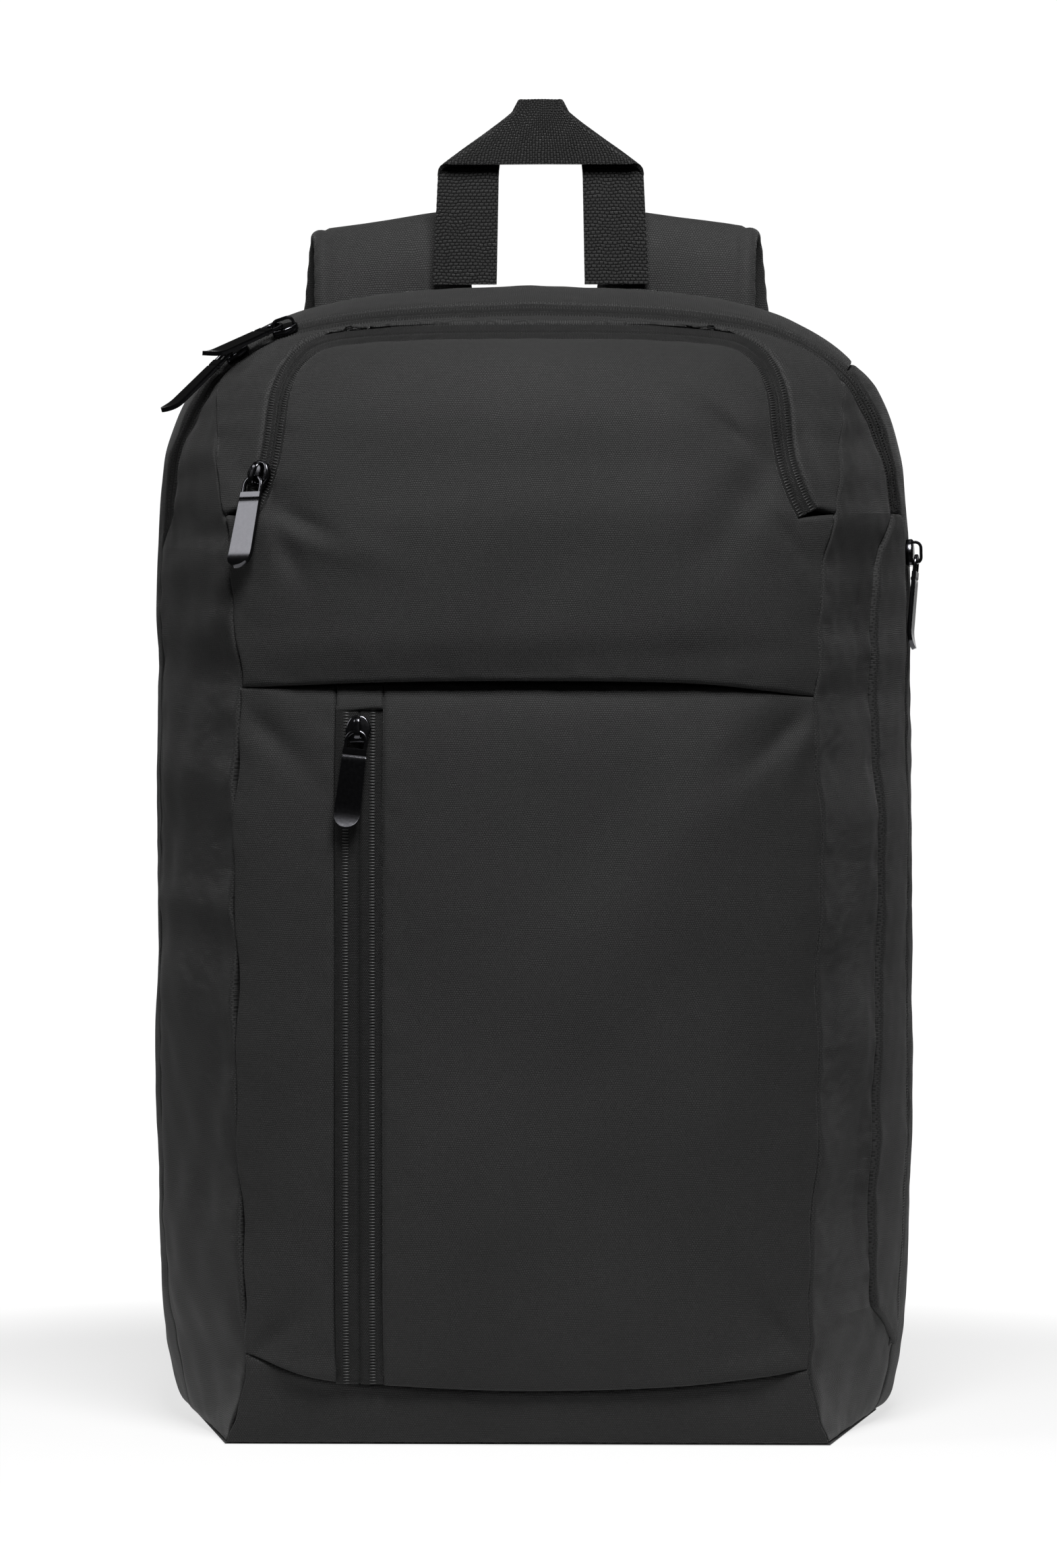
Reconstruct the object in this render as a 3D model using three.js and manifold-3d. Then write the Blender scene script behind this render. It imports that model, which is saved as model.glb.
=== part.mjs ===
// A soft laptop backpack, standing on its base and filled to its normal shape.
// Millimetres, +Z up. The origin is on the floor at the middle of the base, the front faces -Y,
// and +X is to the right of someone who looks at the front.
import * as THREE from 'three';
import { mergeVertices } from 'three/addons/utils/BufferGeometryUtils.js';
import Module from 'manifold-3d';

const wasm = await Module();
wasm.setup();

// Driving sizes of the bag
const BODY_WIDTH = 296;
const BODY_HEIGHT = 439;
const BODY_DEPTH = 120;
const HALF_WIDTH = BODY_WIDTH / 2;
const HALF_DEPTH = BODY_DEPTH / 2;
const CLOTH = 2.2;
const TAPE_CLOTH = 1.2;
const POCKET_CLOTH = 2.4;
const BASE_CLOTH = 2;
const BACK_PADDING = 7;
const BACK_CROWN = 5;
const SEAM_GAP = 0.3;
const CROWN_POWER = 3.2;

// Zips
const MAIN_TAPE_WIDTH = 18;
const DOOR_TAPE_WIDTH = 8;
const POCKET_TAPE_WIDTH = 17.5;
const SIDE_TAPE_WIDTH = 16;
const TAPE_RECESS = 1;
const POCKET_ZIP_X = -61.5;
const POCKET_COVER_HEIGHT = 10.4;
const SLIDER_SETBACK = 7;
const SIDE_PANEL_RAISE = 1.2;

// Handle
const HANDLE_WEB_WIDTH = 25;
const HANDLE_WEB_THICKNESS = 1.5;
const HANDLE_SPAN = 59.4;
const HANDLE_CENTRE_X = 2.6;
const HANDLE_LEG_HEIGHT = 54;
const HANDLE_FOLD_RADIUS = 2.2;
const HANDLE_LEAN = 0.06;
const HANDLE_TOP_SQUEEZE = 0.42;

// Shoulder straps and what fastens their lower ends
const STRAP_WIDTH = 62;
const STRAP_THICKNESS = 9;
const STRAP_TOP_X = 55.5;
const STRAP_SPLAY = 37.5;
const STRAP_WEB_WIDTH = 25;
const STRAP_WEB_THICKNESS = 1.5;
const BUCKLE_LENGTH = 28;
const BUCKLE_THICKNESS = 4;
const BUCKLE_BAR = 5;
const BUCKLE_RIM = 4;
const BUCKLE_SETBACK = 4.2;
const WEB_TAIL = 70;
const TAB_THICKNESS = 3;

// Zip sliders and pulls
const SLIDER_LENGTH = 10.2;
const SLIDER_WIDTH = 9.5;
const SLIDER_FLOAT = 0.3;
const SLIDER_BODY_TOP = 3;
const BRIDGE_LENGTH = 8.7;
const BRIDGE_WIDTH = 2.4;
const BRIDGE_TOP = 6.5;
const BRIDGE_WALL = 1.15;
const WIRE = 1.4;
const CROSSBAR_ALONG = 1.4;
const CROSSBAR_HEIGHT = 4.2;
const RING_WIDTH = 8.8;
const RING_REACH = 6.6;
const PULL_LENGTH = 35.5;
const PULL_WIDTH = 9.7;
const PULL_THICKNESS = 1.8;
const PULL_TIP_LENGTH = 6;
const PULL_TIP_BEND = 20;

const CLOTH_COLOUR = '#303030';
const STRAP_COLOUR = '#2c2c2c';
const TAPE_COLOUR = '#1c1c1c';
const METAL_COLOUR = '#0c0c0d';

// Gives the rows of a table their station numbers.
function numbered(rows) {
  return rows.map((row, station) => ({ station, ...row }));
}

// Seams of one half of the bag, from the floor up the side and over to the top centre, by station.
// up is a share of BODY_HEIGHT, out of HALF_WIDTH, in of HALF_DEPTH.
// Seam round the front panels, then the front edge of the main zip.
const FRONT_SEAM = numbered([
  { up: 0, out: 0.757, in: -0.95 }, { up: 0.02, out: 0.736, in: -1 }, { up: 0.073, out: 0.703, in: -1.03 },
  { up: 0.148, out: 0.716, in: -1.02 }, { up: 0.25, out: 0.726, in: -1.02 },
  { up: 0.365, out: 0.733, in: -1.03 },
  { up: 0.478, out: 0.736, in: -1.03 }, { up: 0.57, out: 0.733, in: -1.02 },
  { up: 0.642, out: 0.726, in: -0.98 },
  { up: 0.713, out: 0.743, in: -0.93 }, { up: 0.777, out: 0.77, in: -0.82 },
  { up: 0.834, out: 0.791, in: -0.6 },
  { up: 0.875, out: 0.8, in: -0.37 }, { up: 0.904, out: 0.797, in: -0.17 },
  { up: 0.932, out: 0.703, in: -0.08 },
  { up: 0.948, out: 0.568, in: -0.07 }, { up: 0.957, out: 0.338, in: -0.08 }, { up: 0.961, out: 0, in: -0.1 },
]);
// Seam round the back panel.
const BACK_SEAM = numbered([
  { up: 0, out: 0.905, in: 0.97 }, { up: 0.018, out: 0.949, in: 1 }, { up: 0.077, out: 0.98, in: 1 },
  { up: 0.15, out: 0.99, in: 1 }, { up: 0.255, out: 0.997, in: 1 }, { up: 0.374, out: 0.997, in: 1 },
  { up: 0.492, out: 0.997, in: 1 }, { up: 0.588, out: 0.997, in: 1 }, { up: 0.661, out: 0.995, in: 1 },
  { up: 0.724, out: 0.993, in: 1 }, { up: 0.786, out: 0.98, in: 1 }, { up: 0.843, out: 0.959, in: 1 },
  { up: 0.888, out: 0.912, in: 1 }, { up: 0.929, out: 0.831, in: 1 }, { up: 0.961, out: 0.709, in: 1 },
  { up: 0.982, out: 0.554, in: 1 }, { up: 0.995, out: 0.324, in: 1 }, { up: 1, out: 0, in: 1 },
]);
// How far the side between them bulges, and how deep the main zip's centre lies.
const SIDE_FORM = numbered([
  { bulge: 0, coil: 0.2 }, { bulge: 0.03, coil: 0.2 }, { bulge: 0.1, coil: 0.2 },
  { bulge: 0.14, coil: 0.2 }, { bulge: 0.15, coil: 0.2 }, { bulge: 0.15, coil: 0.2 },
  { bulge: 0.15, coil: 0.2 }, { bulge: 0.15, coil: 0.2 }, { bulge: 0.15, coil: 0.2 },
  { bulge: 0.15, coil: 0.2 }, { bulge: 0.145, coil: 0.2 }, { bulge: 0.135, coil: 0.12 },
  { bulge: 0.11, coil: 0.04 }, { bulge: 0.07, coil: 0 }, { bulge: 0.05, coil: 0.03 },
  { bulge: 0.05, coil: 0.05 }, { bulge: 0.05, coil: 0.05 }, { bulge: 0.05, coil: 0.05 },
]);
const EAR = 13;
const TOP_CENTRE = FRONT_SEAM.length - 1;

// Middle of the front, by height: shares of BODY_HEIGHT and HALF_DEPTH.
const UPPER_CENTRE = [
  { up: 0.642, in: -1.22 }, { up: 0.66, in: -1.25 }, { up: 0.69, in: -1.25 }, { up: 0.74, in: -1.235 },
  { up: 0.78, in: -1.21 }, { up: 0.82, in: -1.16 }, { up: 0.866, in: -1.09 }, { up: 0.9, in: -0.97 },
  { up: 0.923, in: -0.82 }, { up: 0.938, in: -0.61 }, { up: 0.947, in: -0.43 }, { up: 0.954, in: -0.27 },
  { up: 0.961, in: -0.1 },
];
const LOWER_CENTRE = [
  { up: 0.04, in: -1.08 }, { up: 0.055, in: -1.13 }, { up: 0.09, in: -1.19 }, { up: 0.14, in: -1.235 },
  { up: 0.23, in: -1.26 }, { up: 0.34, in: -1.27 }, { up: 0.46, in: -1.26 }, { up: 0.57, in: -1.23 },
  { up: 0.615, in: -1.18 }, { up: 0.6415, in: -1.11 },
];
const BASE_CENTRE = [
  { up: 0, in: -0.95 }, { up: 0.02, in: -1.02 }, { up: 0.041, in: -1.045 }, { up: 0.065, in: -1.04 },
];

// Heights across the front, from the left seam (-1) to the right seam (1), as shares of BODY_HEIGHT.
const FOLD_LINE = [
  { across: -1, up: 0.637 }, { across: -0.5, up: 0.641 }, { across: 0, up: 0.642 },
  { across: 0.6, up: 0.6395 }, { across: 1, up: 0.629 },
];
const LIP_LINE = [
  { across: -1, up: 0.076 }, { across: -0.75, up: 0.056 }, { across: -0.4, up: 0.048 },
  { across: 0, up: 0.0445 }, { across: 0.5, up: 0.048 }, { across: 0.85, up: 0.057 },
  { across: 1, up: 0.063 },
];

// Centre line of the front compartment's zip, one half from its lower end to the top centre.
const DOOR_ZIP = numbered([
  { out: 0.707, up: 0.7835 }, { out: 0.686, up: 0.797 }, { out: 0.666, up: 0.815 }, { out: 0.652, up: 0.834 },
  { out: 0.643, up: 0.859 }, { out: 0.635, up: 0.886 }, { out: 0.615, up: 0.907 }, { out: 0.583, up: 0.9245 },
  { out: 0.54, up: 0.9355 }, { out: 0.486, up: 0.9405 }, { out: 0.405, up: 0.943 }, { out: 0.27, up: 0.9445 },
  { out: 0.135, up: 0.945 }, { out: 0, up: 0.945 },
]);

// Front edge of the raised side panel, as a share of the way from the front seam to the back seam.
const SIDE_PANEL_EDGE = [
  { station: 2.3, edge: 0.45 }, { station: 2.7, edge: 0.39 }, { station: 4, edge: 0.34 },
  { station: 5.5, edge: 0.38 }, { station: 7, edge: 0.35 }, { station: 8.6, edge: 0.32 },
  { station: 9.3, edge: 0.335 }, { station: 10, edge: 0.42 },
];
const SIDE_PANEL_LOW = 2.3;

// Main dents and folds of the front: centre, reach along the fold and across it, turn from level, depth.
const FOLDS = [
  { out: -0.64, up: 0.8, reach: 0.16, width: 0.05, turn: -35, depth: 0.045 },
  { out: 0.58, up: 0.81, reach: 0.2, width: 0.06, turn: 55, depth: 0.05 },
  { out: 0.66, up: 0.745, reach: 0.14, width: 0.05, turn: -60, depth: -0.03 },
  { out: 0.62, up: 0.6, reach: 0.17, width: 0.05, turn: 40, depth: 0.045 },
  { out: -0.66, up: 0.6, reach: 0.15, width: 0.05, turn: -40, depth: 0.035 },
  { out: 0.63, up: 0.1, reach: 0.2, width: 0.045, turn: -50, depth: 0.05 },
  { out: -0.64, up: 0.095, reach: 0.12, width: 0.045, turn: 50, depth: 0.05 },
  { out: 0.1, up: 0.35, reach: 0.6, width: 0.12, turn: 48, depth: -0.02 },
];

const lerp = THREE.MathUtils.lerp;
const radians = THREE.MathUtils.degToRad;

// Value of a table's column at a place between its rows, with a smooth run through them.
function read(rows, by, key, at) {
  const last = rows.length - 1;
  let i = 0;
  while (i < last - 1 && at > rows[i + 1][by]) i++;
  const slope = (a, b) => (rows[b][key] - rows[a][key]) / (rows[b][by] - rows[a][by]);
  const span = rows[i + 1][by] - rows[i][by];
  const share = THREE.MathUtils.clamp((at - rows[i][by]) / span, 0, 1);
  const enter = i > 0 ? slope(i - 1, i + 1) : slope(i, i + 1);
  const leave = i + 1 < last ? slope(i, i + 2) : slope(i, i + 1);
  const s2 = share * share;
  const s3 = s2 * share;
  return rows[i][key] * (2 * s3 - 3 * s2 + 1) + span * enter * (s3 - 2 * s2 + share)
    + rows[i + 1][key] * (3 * s2 - 2 * s3) + span * leave * (s3 - s2);
}

function frontSeam(station, side) {
  return new THREE.Vector3(
    side * HALF_WIDTH * read(FRONT_SEAM, 'station', 'out', station),
    HALF_DEPTH * read(FRONT_SEAM, 'station', 'in', station),
    BODY_HEIGHT * read(FRONT_SEAM, 'station', 'up', station),
  );
}

function backSeam(station, side) {
  return new THREE.Vector3(
    side * HALF_WIDTH * read(BACK_SEAM, 'station', 'out', station),
    HALF_DEPTH * read(BACK_SEAM, 'station', 'in', station),
    BODY_HEIGHT * read(BACK_SEAM, 'station', 'up', station),
  );
}

// Point of the bag's side or top between the front seam (share 0) and the back seam (share 1).
function sidePoint(station, share, side) {
  const step = 0.05;
  const below = backSeam(Math.max(station - step, 0), side);
  const above = backSeam(Math.min(station + step, TOP_CENTRE), side);
  const out = new THREE.Vector3(side * (above.z - below.z), 0, -side * (above.x - below.x)).normalize();
  if (station >= TOP_CENTRE - step) out.set(0, 0, 1);
  const bulge = HALF_DEPTH * read(SIDE_FORM, 'station', 'bulge', station) * 4 * share * (1 - share);
  return frontSeam(station, side).lerp(backSeam(station, side), share).addScaledVector(out, bulge);
}

// Share at which the main zip's centre, moved across the tape by a distance, lies at a station.
function mainZipShare(station, across) {
  const front = frontSeam(station, 1);
  const back = backSeam(station, 1);
  const coil = HALF_DEPTH * read(SIDE_FORM, 'station', 'coil', station);
  return Math.max((coil - front.y + across) / (back.y - front.y), 0);
}

function stationAtHeight(height) {
  let low = 0;
  let high = EAR;
  for (let i = 0; i < 40; i++) {
    const middle = (low + high) / 2;
    if (BODY_HEIGHT * read(FRONT_SEAM, 'station', 'up', middle) < height) low = middle;
    else high = middle;
  }
  return low;
}

const foldHeight = (across) => BODY_HEIGHT * read(FOLD_LINE, 'across', 'up', across);
const lipHeight = (across) => BODY_HEIGHT * read(LIP_LINE, 'across', 'up', across);

function foldDepth(x, z) {
  let depth = 0;
  for (const fold of FOLDS) {
    const dx = x - HALF_WIDTH * fold.out;
    const dz = z - BODY_HEIGHT * fold.up;
    const turn = radians(fold.turn);
    const along = (dx * Math.cos(turn) + dz * Math.sin(turn)) / (HALF_WIDTH * fold.reach);
    const across = (dz * Math.cos(turn) - dx * Math.sin(turn)) / (HALF_WIDTH * fold.width);
    depth += HALF_DEPTH * fold.depth * Math.exp(-along * along - across * across);
  }
  return depth;
}

// Half width of the front at a height: the seam up to its upper corner, then the main zip's front edge.
function frontHalfAt(z) {
  let low = 0;
  let high = TOP_CENTRE;
  for (let i = 0; i < 40; i++) {
    const middle = (low + high) / 2;
    if (BODY_HEIGHT * read(FRONT_SEAM, 'station', 'up', middle) < z) low = middle;
    else high = middle;
  }
  const edge = frontSeam(low, 1);
  return { half: Math.max(edge.x, 1), depth: edge.y };
}

// Depth of the front face at x and z, for the centre profile of one of its panels.
function frontDepth(profile, x, z) {
  const centre = HALF_DEPTH * read(profile, 'up', 'in', z / BODY_HEIGHT);
  const seam = frontHalfAt(z);
  const share = Math.min(Math.abs(x) / seam.half, 1);
  const dent = foldDepth(x, z) * (1 - share ** 8);
  return lerp(centre, seam.depth, share ** CROWN_POWER) + dent;
}

// Inner box that all cloth thickness points at, so that neighbours meet edge to edge.
const CORE = new THREE.Box3(
  new THREE.Vector3(-HALF_WIDTH * 0.4, -HALF_DEPTH * 0.25, BODY_HEIGHT * 0.14),
  new THREE.Vector3(HALF_WIDTH * 0.4, HALF_DEPTH * 0.4, BODY_HEIGHT * 0.84),
);
const inward = (point) => CORE.clampPoint(point, new THREE.Vector3()).sub(point).normalize();

function frontPoint(profile, x, z, recess = 0) {
  const point = new THREE.Vector3(x, frontDepth(profile, x, z), z);
  return point.addScaledVector(inward(point), recess);
}

function geometryOf(vertices, triangles) {
  const geometry = new THREE.BufferGeometry();
  const places = vertices.flatMap((v) => v.toArray());
  geometry.setAttribute('position', new THREE.Float32BufferAttribute(places, 3));
  geometry.setIndex(triangles.flat());
  return geometry;
}

// Cells of a grid of points, row by row; keep(row, column) may leave cells out.
function grid(rows, columns, pointAt, keep = () => true) {
  const points = [];
  const cells = [];
  for (let r = 0; r <= rows; r++) for (let c = 0; c <= columns; c++) points.push(pointAt(r, c));
  const index = (r, c) => r * (columns + 1) + c;
  for (let r = 0; r < rows; r++) {
    for (let c = 0; c < columns; c++) {
      if (keep(r, c)) cells.push([index(r, c), index(r, c + 1), index(r + 1, c + 1), index(r + 1, c)]);
    }
  }
  return { points, cells };
}

// Closed sheet of cloth: the cells are its outer face, drawn in by half the seam gap at its edges.
function sheet({ points, cells }, thickness, direction = inward, gap = SEAM_GAP) {
  const triangles = cells.flatMap(([a, b, c, d]) => [[a, b, c], [a, c, d]]);
  const edges = new Map();
  for (const [a, b, c] of triangles) {
    for (const [from, to] of [[a, b], [b, c], [c, a]]) {
      if (!edges.delete(`${to},${from}`)) edges.set(`${from},${to}`, { from, to, face: [a, b, c] });
    }
  }
  const shift = new Map();
  for (const { from, to, face } of edges.values()) {
    const [p, q, r] = face.map((i) => points[i]);
    const normal = new THREE.Vector3().crossVectors(q.clone().sub(p), r.clone().sub(p));
    const away = new THREE.Vector3().crossVectors(normal, points[to].clone().sub(points[from])).normalize();
    for (const i of [from, to]) shift.set(i, [...(shift.get(i) ?? []), away]);
  }
  const outer = points.map((point, i) => {
    const sides = shift.get(i);
    if (!sides || sides.length < 2) return point.clone();
    const sum = sides[0].clone().add(sides[1]).normalize();
    return point.clone().addScaledVector(sum, gap / 2 / Math.max(sum.dot(sides[0]), 0.5));
  });
  const used = [...new Set(triangles.flat())];
  const place = new Map(used.map((i, n) => [i, n]));
  const count = used.length;
  const top = used.map((i) => outer[i]);
  const bottom = used.map((i) => outer[i].clone().addScaledVector(direction(points[i], i), thickness));
  const faces = [];
  for (const [a, b, c] of triangles.map((t) => t.map((i) => place.get(i)))) {
    faces.push([a, b, c], [a + count, c + count, b + count]);
  }
  for (const { from, to } of edges.values()) {
    const a = place.get(from);
    const b = place.get(to);
    faces.push([a, a + count, b + count], [a, b + count, b]);
  }
  return faceOut(geometryOf([...top, ...bottom], faces));
}

function volumeOf(geometry) {
  const p = geometry.getAttribute('position');
  const index = geometry.index.array;
  const [a, b, c] = [new THREE.Vector3(), new THREE.Vector3(), new THREE.Vector3()];
  let volume = 0;
  for (let i = 0; i < index.length; i += 3) {
    a.fromBufferAttribute(p, index[i]);
    b.fromBufferAttribute(p, index[i + 1]);
    c.fromBufferAttribute(p, index[i + 2]);
    volume += a.dot(b.cross(c)) / 6;
  }
  return volume;
}

function faceOut(geometry) {
  if (volumeOf(geometry) < 0) {
    const index = geometry.index.array;
    for (let i = 0; i < index.length; i += 3) [index[i + 1], index[i + 2]] = [index[i + 2], index[i + 1]];
  }
  return geometry;
}

function solidOf(geometry) {
  const bare = geometry.clone();
  bare.deleteAttribute('normal');
  bare.deleteAttribute('uv');
  const merged = mergeVertices(bare, 1e-4);
  const vertProperties = merged.getAttribute('position').array;
  return new wasm.Manifold(new wasm.Mesh({ numProp: 3, vertProperties, triVerts: merged.index.array }));
}

function geometryFrom(solid) {
  const mesh = solid.getMesh();
  const geometry = new THREE.BufferGeometry();
  geometry.setAttribute('position', new THREE.BufferAttribute(mesh.vertProperties, 3));
  geometry.setIndex(new THREE.BufferAttribute(mesh.triVerts, 1));
  return geometry;
}

// Rows shared by every panel that meets the front seam, so that neighbours have the same corners.
const BASE_ROWS = 2;
const LOWER_ROWS = 13;
const UPPER_ROWS = 5;
const EAR_ROWS = 5;
const TOP_ROWS = 7;
const DOOR_ZIP_END = DOOR_ZIP[0].up * BODY_HEIGHT;

function stationsOf(side) {
  const stations = [];
  const lip = lipHeight(side);
  const fold = foldHeight(side);
  for (let i = 0; i < BASE_ROWS; i++) stations.push(stationAtHeight(lerp(0, lip, i / BASE_ROWS)));
  for (let i = 0; i < LOWER_ROWS; i++) stations.push(stationAtHeight(lerp(lip, fold, i / LOWER_ROWS)));
  for (let i = 0; i < UPPER_ROWS; i++) {
    stations.push(stationAtHeight(lerp(fold, DOOR_ZIP_END, i / UPPER_ROWS)));
  }
  const door = stationAtHeight(DOOR_ZIP_END);
  for (let i = 0; i < EAR_ROWS; i++) stations.push(lerp(door, EAR, i / EAR_ROWS));
  for (let i = 0; i <= TOP_ROWS; i++) stations.push(lerp(EAR, TOP_CENTRE, i / TOP_ROWS));
  stations[0] = 0;
  return stations;
}
const STATIONS = { [-1]: stationsOf(-1), 1: stationsOf(1) };
const LIP_ROW = BASE_ROWS;
const FOLD_ROW = LIP_ROW + LOWER_ROWS;
const DOOR_ROW = FOLD_ROW + UPPER_ROWS;
const EAR_ROW = DOOR_ROW + EAR_ROWS;
const TOP_ROW = EAR_ROW + TOP_ROWS;

// Station on a path that climbs the left side and comes down the right, by signed row.
function overTop(row, first) {
  const count = TOP_ROW - first;
  const side = row <= count ? -1 : 1;
  const index = row <= count ? first + row : TOP_ROW - (row - count);
  return { side, index, station: STATIONS[side][index] };
}

const group = new THREE.Group();

function add(name, geometry, colour, roughness = 0.85, metalness = 0) {
  const finish = new THREE.MeshStandardMaterial({ color: colour, roughness, metalness });
  const mesh = new THREE.Mesh(geometry, finish);
  mesh.name = name;
  group.add(mesh);
  return mesh;
}

// Front panels

// Row of the lower front: heights run from the lip line at share 0 to the fold line at share 1.
function lowerPoint(share, across, profile, bottom = lipHeight, top = foldHeight) {
  const z = lerp(bottom(across), top(across), share);
  const half = frontHalfAt(lerp(bottom(Math.sign(across) || 1), top(Math.sign(across) || 1), share)).half;
  const x = across * half;
  const side = Math.sign(across);
  if (Math.abs(across) === 1) return frontSeam(stationAtHeight(z), side);
  return frontPoint(profile, x, z);
}

const MEAN_SEAM_OUT = 0.73;
const acrossOf = (x) => x / (HALF_WIDTH * MEAN_SEAM_OUT);
const pocketZipTop = () => foldHeight(acrossOf(POCKET_ZIP_X)) - POCKET_COVER_HEIGHT;

function acrossColumns(from, to, count) {
  return Array.from({ length: count + 1 }, (_, i) => lerp(from, to, i / count));
}

// Lower panel cut straight along the pocket zip's edge at zipX.
function lowerPanel(name, seamSide, zipX, columns) {
  const shares = acrossColumns(seamSide, acrossOf(zipX), columns);
  const points = grid(LOWER_ROWS, columns, (r, c) => {
    const point = lowerPoint(r / LOWER_ROWS, shares[c], LOWER_CENTRE);
    if (c === columns) {
      point.x = zipX;
      point.y = frontDepth(LOWER_CENTRE, zipX, point.z);
    }
    return point;
  });
  add(name, sheet(points, CLOTH), CLOTH_COLOUR);
}

function pocketZip() {
  const left = POCKET_ZIP_X - POCKET_TAPE_WIDTH / 2;
  const right = POCKET_ZIP_X + POCKET_TAPE_WIDTH / 2;
  const across = acrossOf(POCKET_ZIP_X);
  const columns = 2;
  const tapeTo = (z0, z1, rows, recess) => grid(rows, columns, (r, c) => {
    const z = lerp(z0, z1, r / rows);
    const x = lerp(left, right, c / columns);
    return frontPoint(LOWER_CENTRE, x, z, recess);
  });
  const tape = tapeTo(lipHeight(across), pocketZipTop(), LOWER_ROWS, TAPE_RECESS);
  add('pocket_zip_tape', sheet(tape, TAPE_CLOTH), TAPE_COLOUR);
  const cover = tapeTo(pocketZipTop(), foldHeight(across), 1, 0);
  add('pocket_zip_cover', sheet(cover, CLOTH), CLOTH_COLOUR);
}

function baseFront() {
  const columns = 8;
  const shares = acrossColumns(-1, 1, columns);
  const floor = () => 0;
  const points = grid(BASE_ROWS, columns, (r, c) => {
    if (r === 0) return new THREE.Vector3(frontSeam(0, shares[c]).x, HALF_DEPTH * BASE_CENTRE[0].in, 0);
    return lowerPoint(r / BASE_ROWS, shares[c], BASE_CENTRE, floor, lipHeight);
  });
  add('base_front', sheet(points, CLOTH), CLOTH_COLOUR);
}

// Point beside the front compartment's zip: share 0 is its left lower end, 1 its right lower end.
function doorZip(share, offset) {
  const count = DOOR_ZIP.length - 1;
  const station = count * (1 - Math.abs(2 * share - 1));
  const side = share < 0.5 ? -1 : 1;
  const at = (s) => new THREE.Vector2(
    HALF_WIDTH * read(DOOR_ZIP, 'station', 'out', s),
    BODY_HEIGHT * read(DOOR_ZIP, 'station', 'up', s),
  );
  const here = at(station);
  const step = at(Math.min(station + 0.05, count)).sub(at(Math.max(station - 0.05, 0))).normalize();
  const out = new THREE.Vector2(step.y, -step.x);
  if (station > count - 0.06) out.set(0, 1);
  return new THREE.Vector2(side * (here.x + out.x * offset), here.y + out.y * offset);
}

const DOOR_STEPS = 2 * (EAR_ROWS + TOP_ROWS);
// Along the zip its steps are set so that they lie beside the steps of the yoke's outer edge.
function doorShare(step) {
  const half = DOOR_STEPS / 2;
  const fromEnd = half - Math.abs(step - half);
  const earShare = 0.25;
  const share = fromEnd <= EAR_ROWS
    ? earShare * (fromEnd / EAR_ROWS)
    : lerp(earShare, 0.5, (fromEnd - EAR_ROWS) / TOP_ROWS);
  return step <= half ? share : 1 - share;
}

function doorZipTape() {
  const points = grid(DOOR_STEPS, 2, (r, c) => {
    const flat = doorZip(doorShare(r), lerp(-DOOR_TAPE_WIDTH / 2, DOOR_TAPE_WIDTH / 2, c / 2));
    return frontPoint(UPPER_CENTRE, flat.x, flat.y, TAPE_RECESS);
  });
  add('front_zip_tape', sheet(points, TAPE_CLOTH), TAPE_COLOUR);
}

function yoke() {
  const columns = 3;
  const points = grid(DOOR_STEPS, columns, (r, c) => {
    const { side, station } = overTop(r, DOOR_ROW);
    const outer = frontSeam(station, side);
    const inner = doorZip(doorShare(r), DOOR_TAPE_WIDTH / 2);
    if (c === columns) return outer;
    const x = lerp(inner.x, outer.x, c / columns);
    const z = lerp(inner.y, outer.z, c / columns);
    return frontPoint(UPPER_CENTRE, x, z);
  });
  add('yoke_panel', sheet(points, CLOTH), CLOTH_COLOUR);
}

// The upper panel: wings that reach the front seam below the zip's ends, and a door inside the zip.
function upperPanel() {
  const columns = 12;
  const inner = columns - 2;
  const doorRows = (DOOR_STEPS - inner) / 2;
  const rows = UPPER_ROWS + doorRows;
  const edge = (step) => doorZip(doorShare(step), -DOOR_TAPE_WIDTH / 2);
  const between = (from, to, share) => from.clone().lerp(to, share);
  const doorPoint = (row, column) => {
    const up = row / doorRows;
    const across = column / inner;
    const sides = between(edge(row), edge(DOOR_STEPS - row), across);
    const ends = between(between(edge(0), edge(DOOR_STEPS), across), edge(doorRows + column), up);
    const corners = between(
      between(edge(0), edge(DOOR_STEPS), across),
      between(edge(doorRows), edge(DOOR_STEPS - doorRows), across),
      up,
    );
    const flat = sides.add(ends).sub(corners);
    return frontPoint(UPPER_CENTRE, flat.x, flat.y);
  };
  const wingPoint = (row, column) => {
    if (column === 0) return frontSeam(STATIONS[-1][FOLD_ROW + row], -1);
    if (column === columns) return frontSeam(STATIONS[1][FOLD_ROW + row], 1);
    const x = lerp(edge(0).x, edge(DOOR_STEPS).x, (column - 1) / inner);
    const z = lerp(foldHeight(acrossOf(x)), DOOR_ZIP_END, row / UPPER_ROWS);
    return frontPoint(UPPER_CENTRE, x, z);
  };
  const isWing = (row, column) => row < UPPER_ROWS || column === 0 || column === columns;
  const pointAt = (row, column) => (isWing(row, column)
    ? wingPoint(Math.min(row, UPPER_ROWS), column)
    : doorPoint(row - UPPER_ROWS, column - 1));
  const inDoor = (row, column) => row < UPPER_ROWS || (column > 0 && column < columns - 1);
  add('upper_front_panel', sheet(grid(rows, columns, pointAt, inDoor), CLOTH), CLOTH_COLOUR);
}

// Sides and top

const SIDE_ZIP_FRONT = 0.65;
const SIDE_ZIP_REAR = SIDE_ZIP_FRONT + SIDE_TAPE_WIDTH / BODY_DEPTH;
const LEFT_SEAM = 0.7;
const TAPER = 0.008;
const SIDE_PANEL_ROW = STATIONS[1].findIndex((station) => station >= SIDE_PANEL_LOW);

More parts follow.
